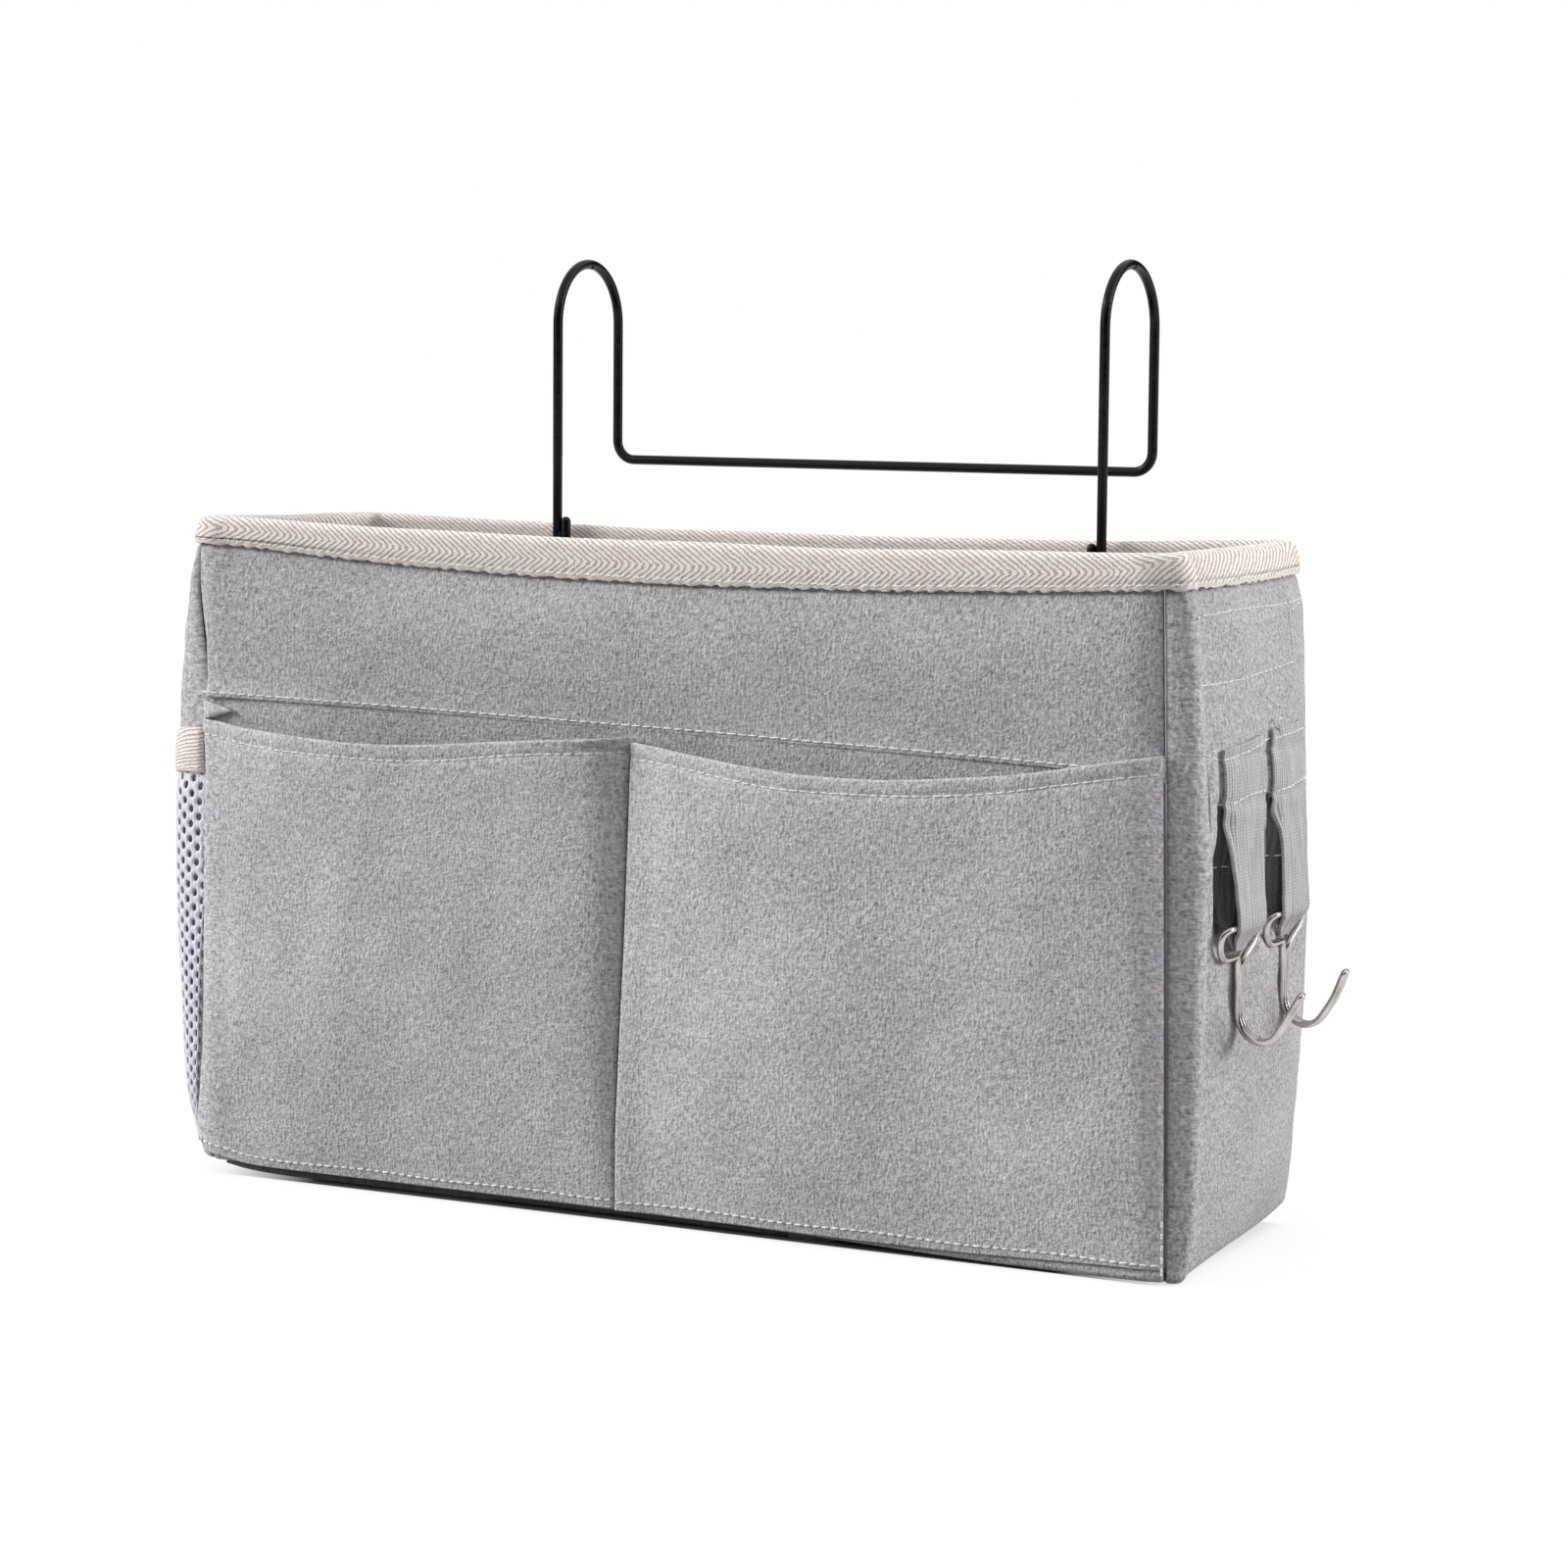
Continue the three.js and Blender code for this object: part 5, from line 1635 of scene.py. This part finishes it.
for name, (power, aim) in studio["lamps"].items():
    lamp = bpy.data.lights.new(name, "SUN")
    lamp.energy = power
    lamp.angle = math.radians(studio["softness"])
    holder = bpy.data.objects.new(name, lamp)
    bpy.context.scene.collection.objects.link(holder)
    x, y, z = np.array(aim) / np.linalg.norm(aim)
    holder.rotation_euler = (math.acos(z), 0, math.atan2(x, -y))

# Ring of black cards round the table, seen only in what shines
ring = {"radius": 4.0, "low": -0.5, "high": 2.5, "sides": 36, "gaps": (23, 24, 25, 0, 1)}
count, corners = ring["sides"], []
for z in (ring["low"], ring["high"]):
    for turn in np.arange(count) * 2 * math.pi / count:
        corners.append((ring["radius"] * math.cos(turn), ring["radius"] * math.sin(turn), z))
kept = [k for k in range(count) if k not in ring["gaps"]]
faces = [(k, count + k, count + (k + 1) % count, (k + 1) % count) for k in kept]
cards = newObject("studio_cards", corners, [], faces)
material, tree = newMaterial("Black card, matt")
paper = socketOf(tree, "ShaderNodeBsdfDiffuse", "BSDF", {"Color": (0.01, 0.01, 0.01, 1)})
addNode(tree, "ShaderNodeOutputMaterial", links={"Surface": paper})
cards.data.materials.append(material)
cards.visible_camera = False
cards.visible_diffuse = False
cards.visible_shadow = False
cards.visible_transmission = False

view = {
    "lens": 95.65,
    "at": (0.5822, -1.0914, 0.2584),
    "down": 0.1078,
    "turn": 0.4782,
    "roll": 0.0086,
}
down, turn, roll = view["down"], view["turn"], view["roll"]
level = math.cos(down)
forward = np.array([-math.sin(turn) * level, math.cos(turn) * level, -math.sin(down)])
right = np.array([math.cos(turn), math.sin(turn), 0.0])
up = np.cross(right, forward)
rolledRight = math.cos(roll) * right + math.sin(roll) * up
rolledUp = -math.sin(roll) * right + math.cos(roll) * up
lens = bpy.data.cameras.new("camera")
lens.lens = view["lens"]
lens.sensor_width = 36
lens.clip_start = 0.01
camera = bpy.data.objects.new("camera", lens)
bpy.context.scene.collection.objects.link(camera)
columns = [rolledRight, rolledUp, -forward, np.array(view["at"])]
rows = [[float(column[k]) for column in columns] for k in range(3)] + [[0, 0, 0, 1]]
camera.matrix_world = type(camera.matrix_world)(rows)
bpy.context.scene.camera = camera
bpy.context.scene.view_settings.view_transform = "Standard"
print("studio ready")
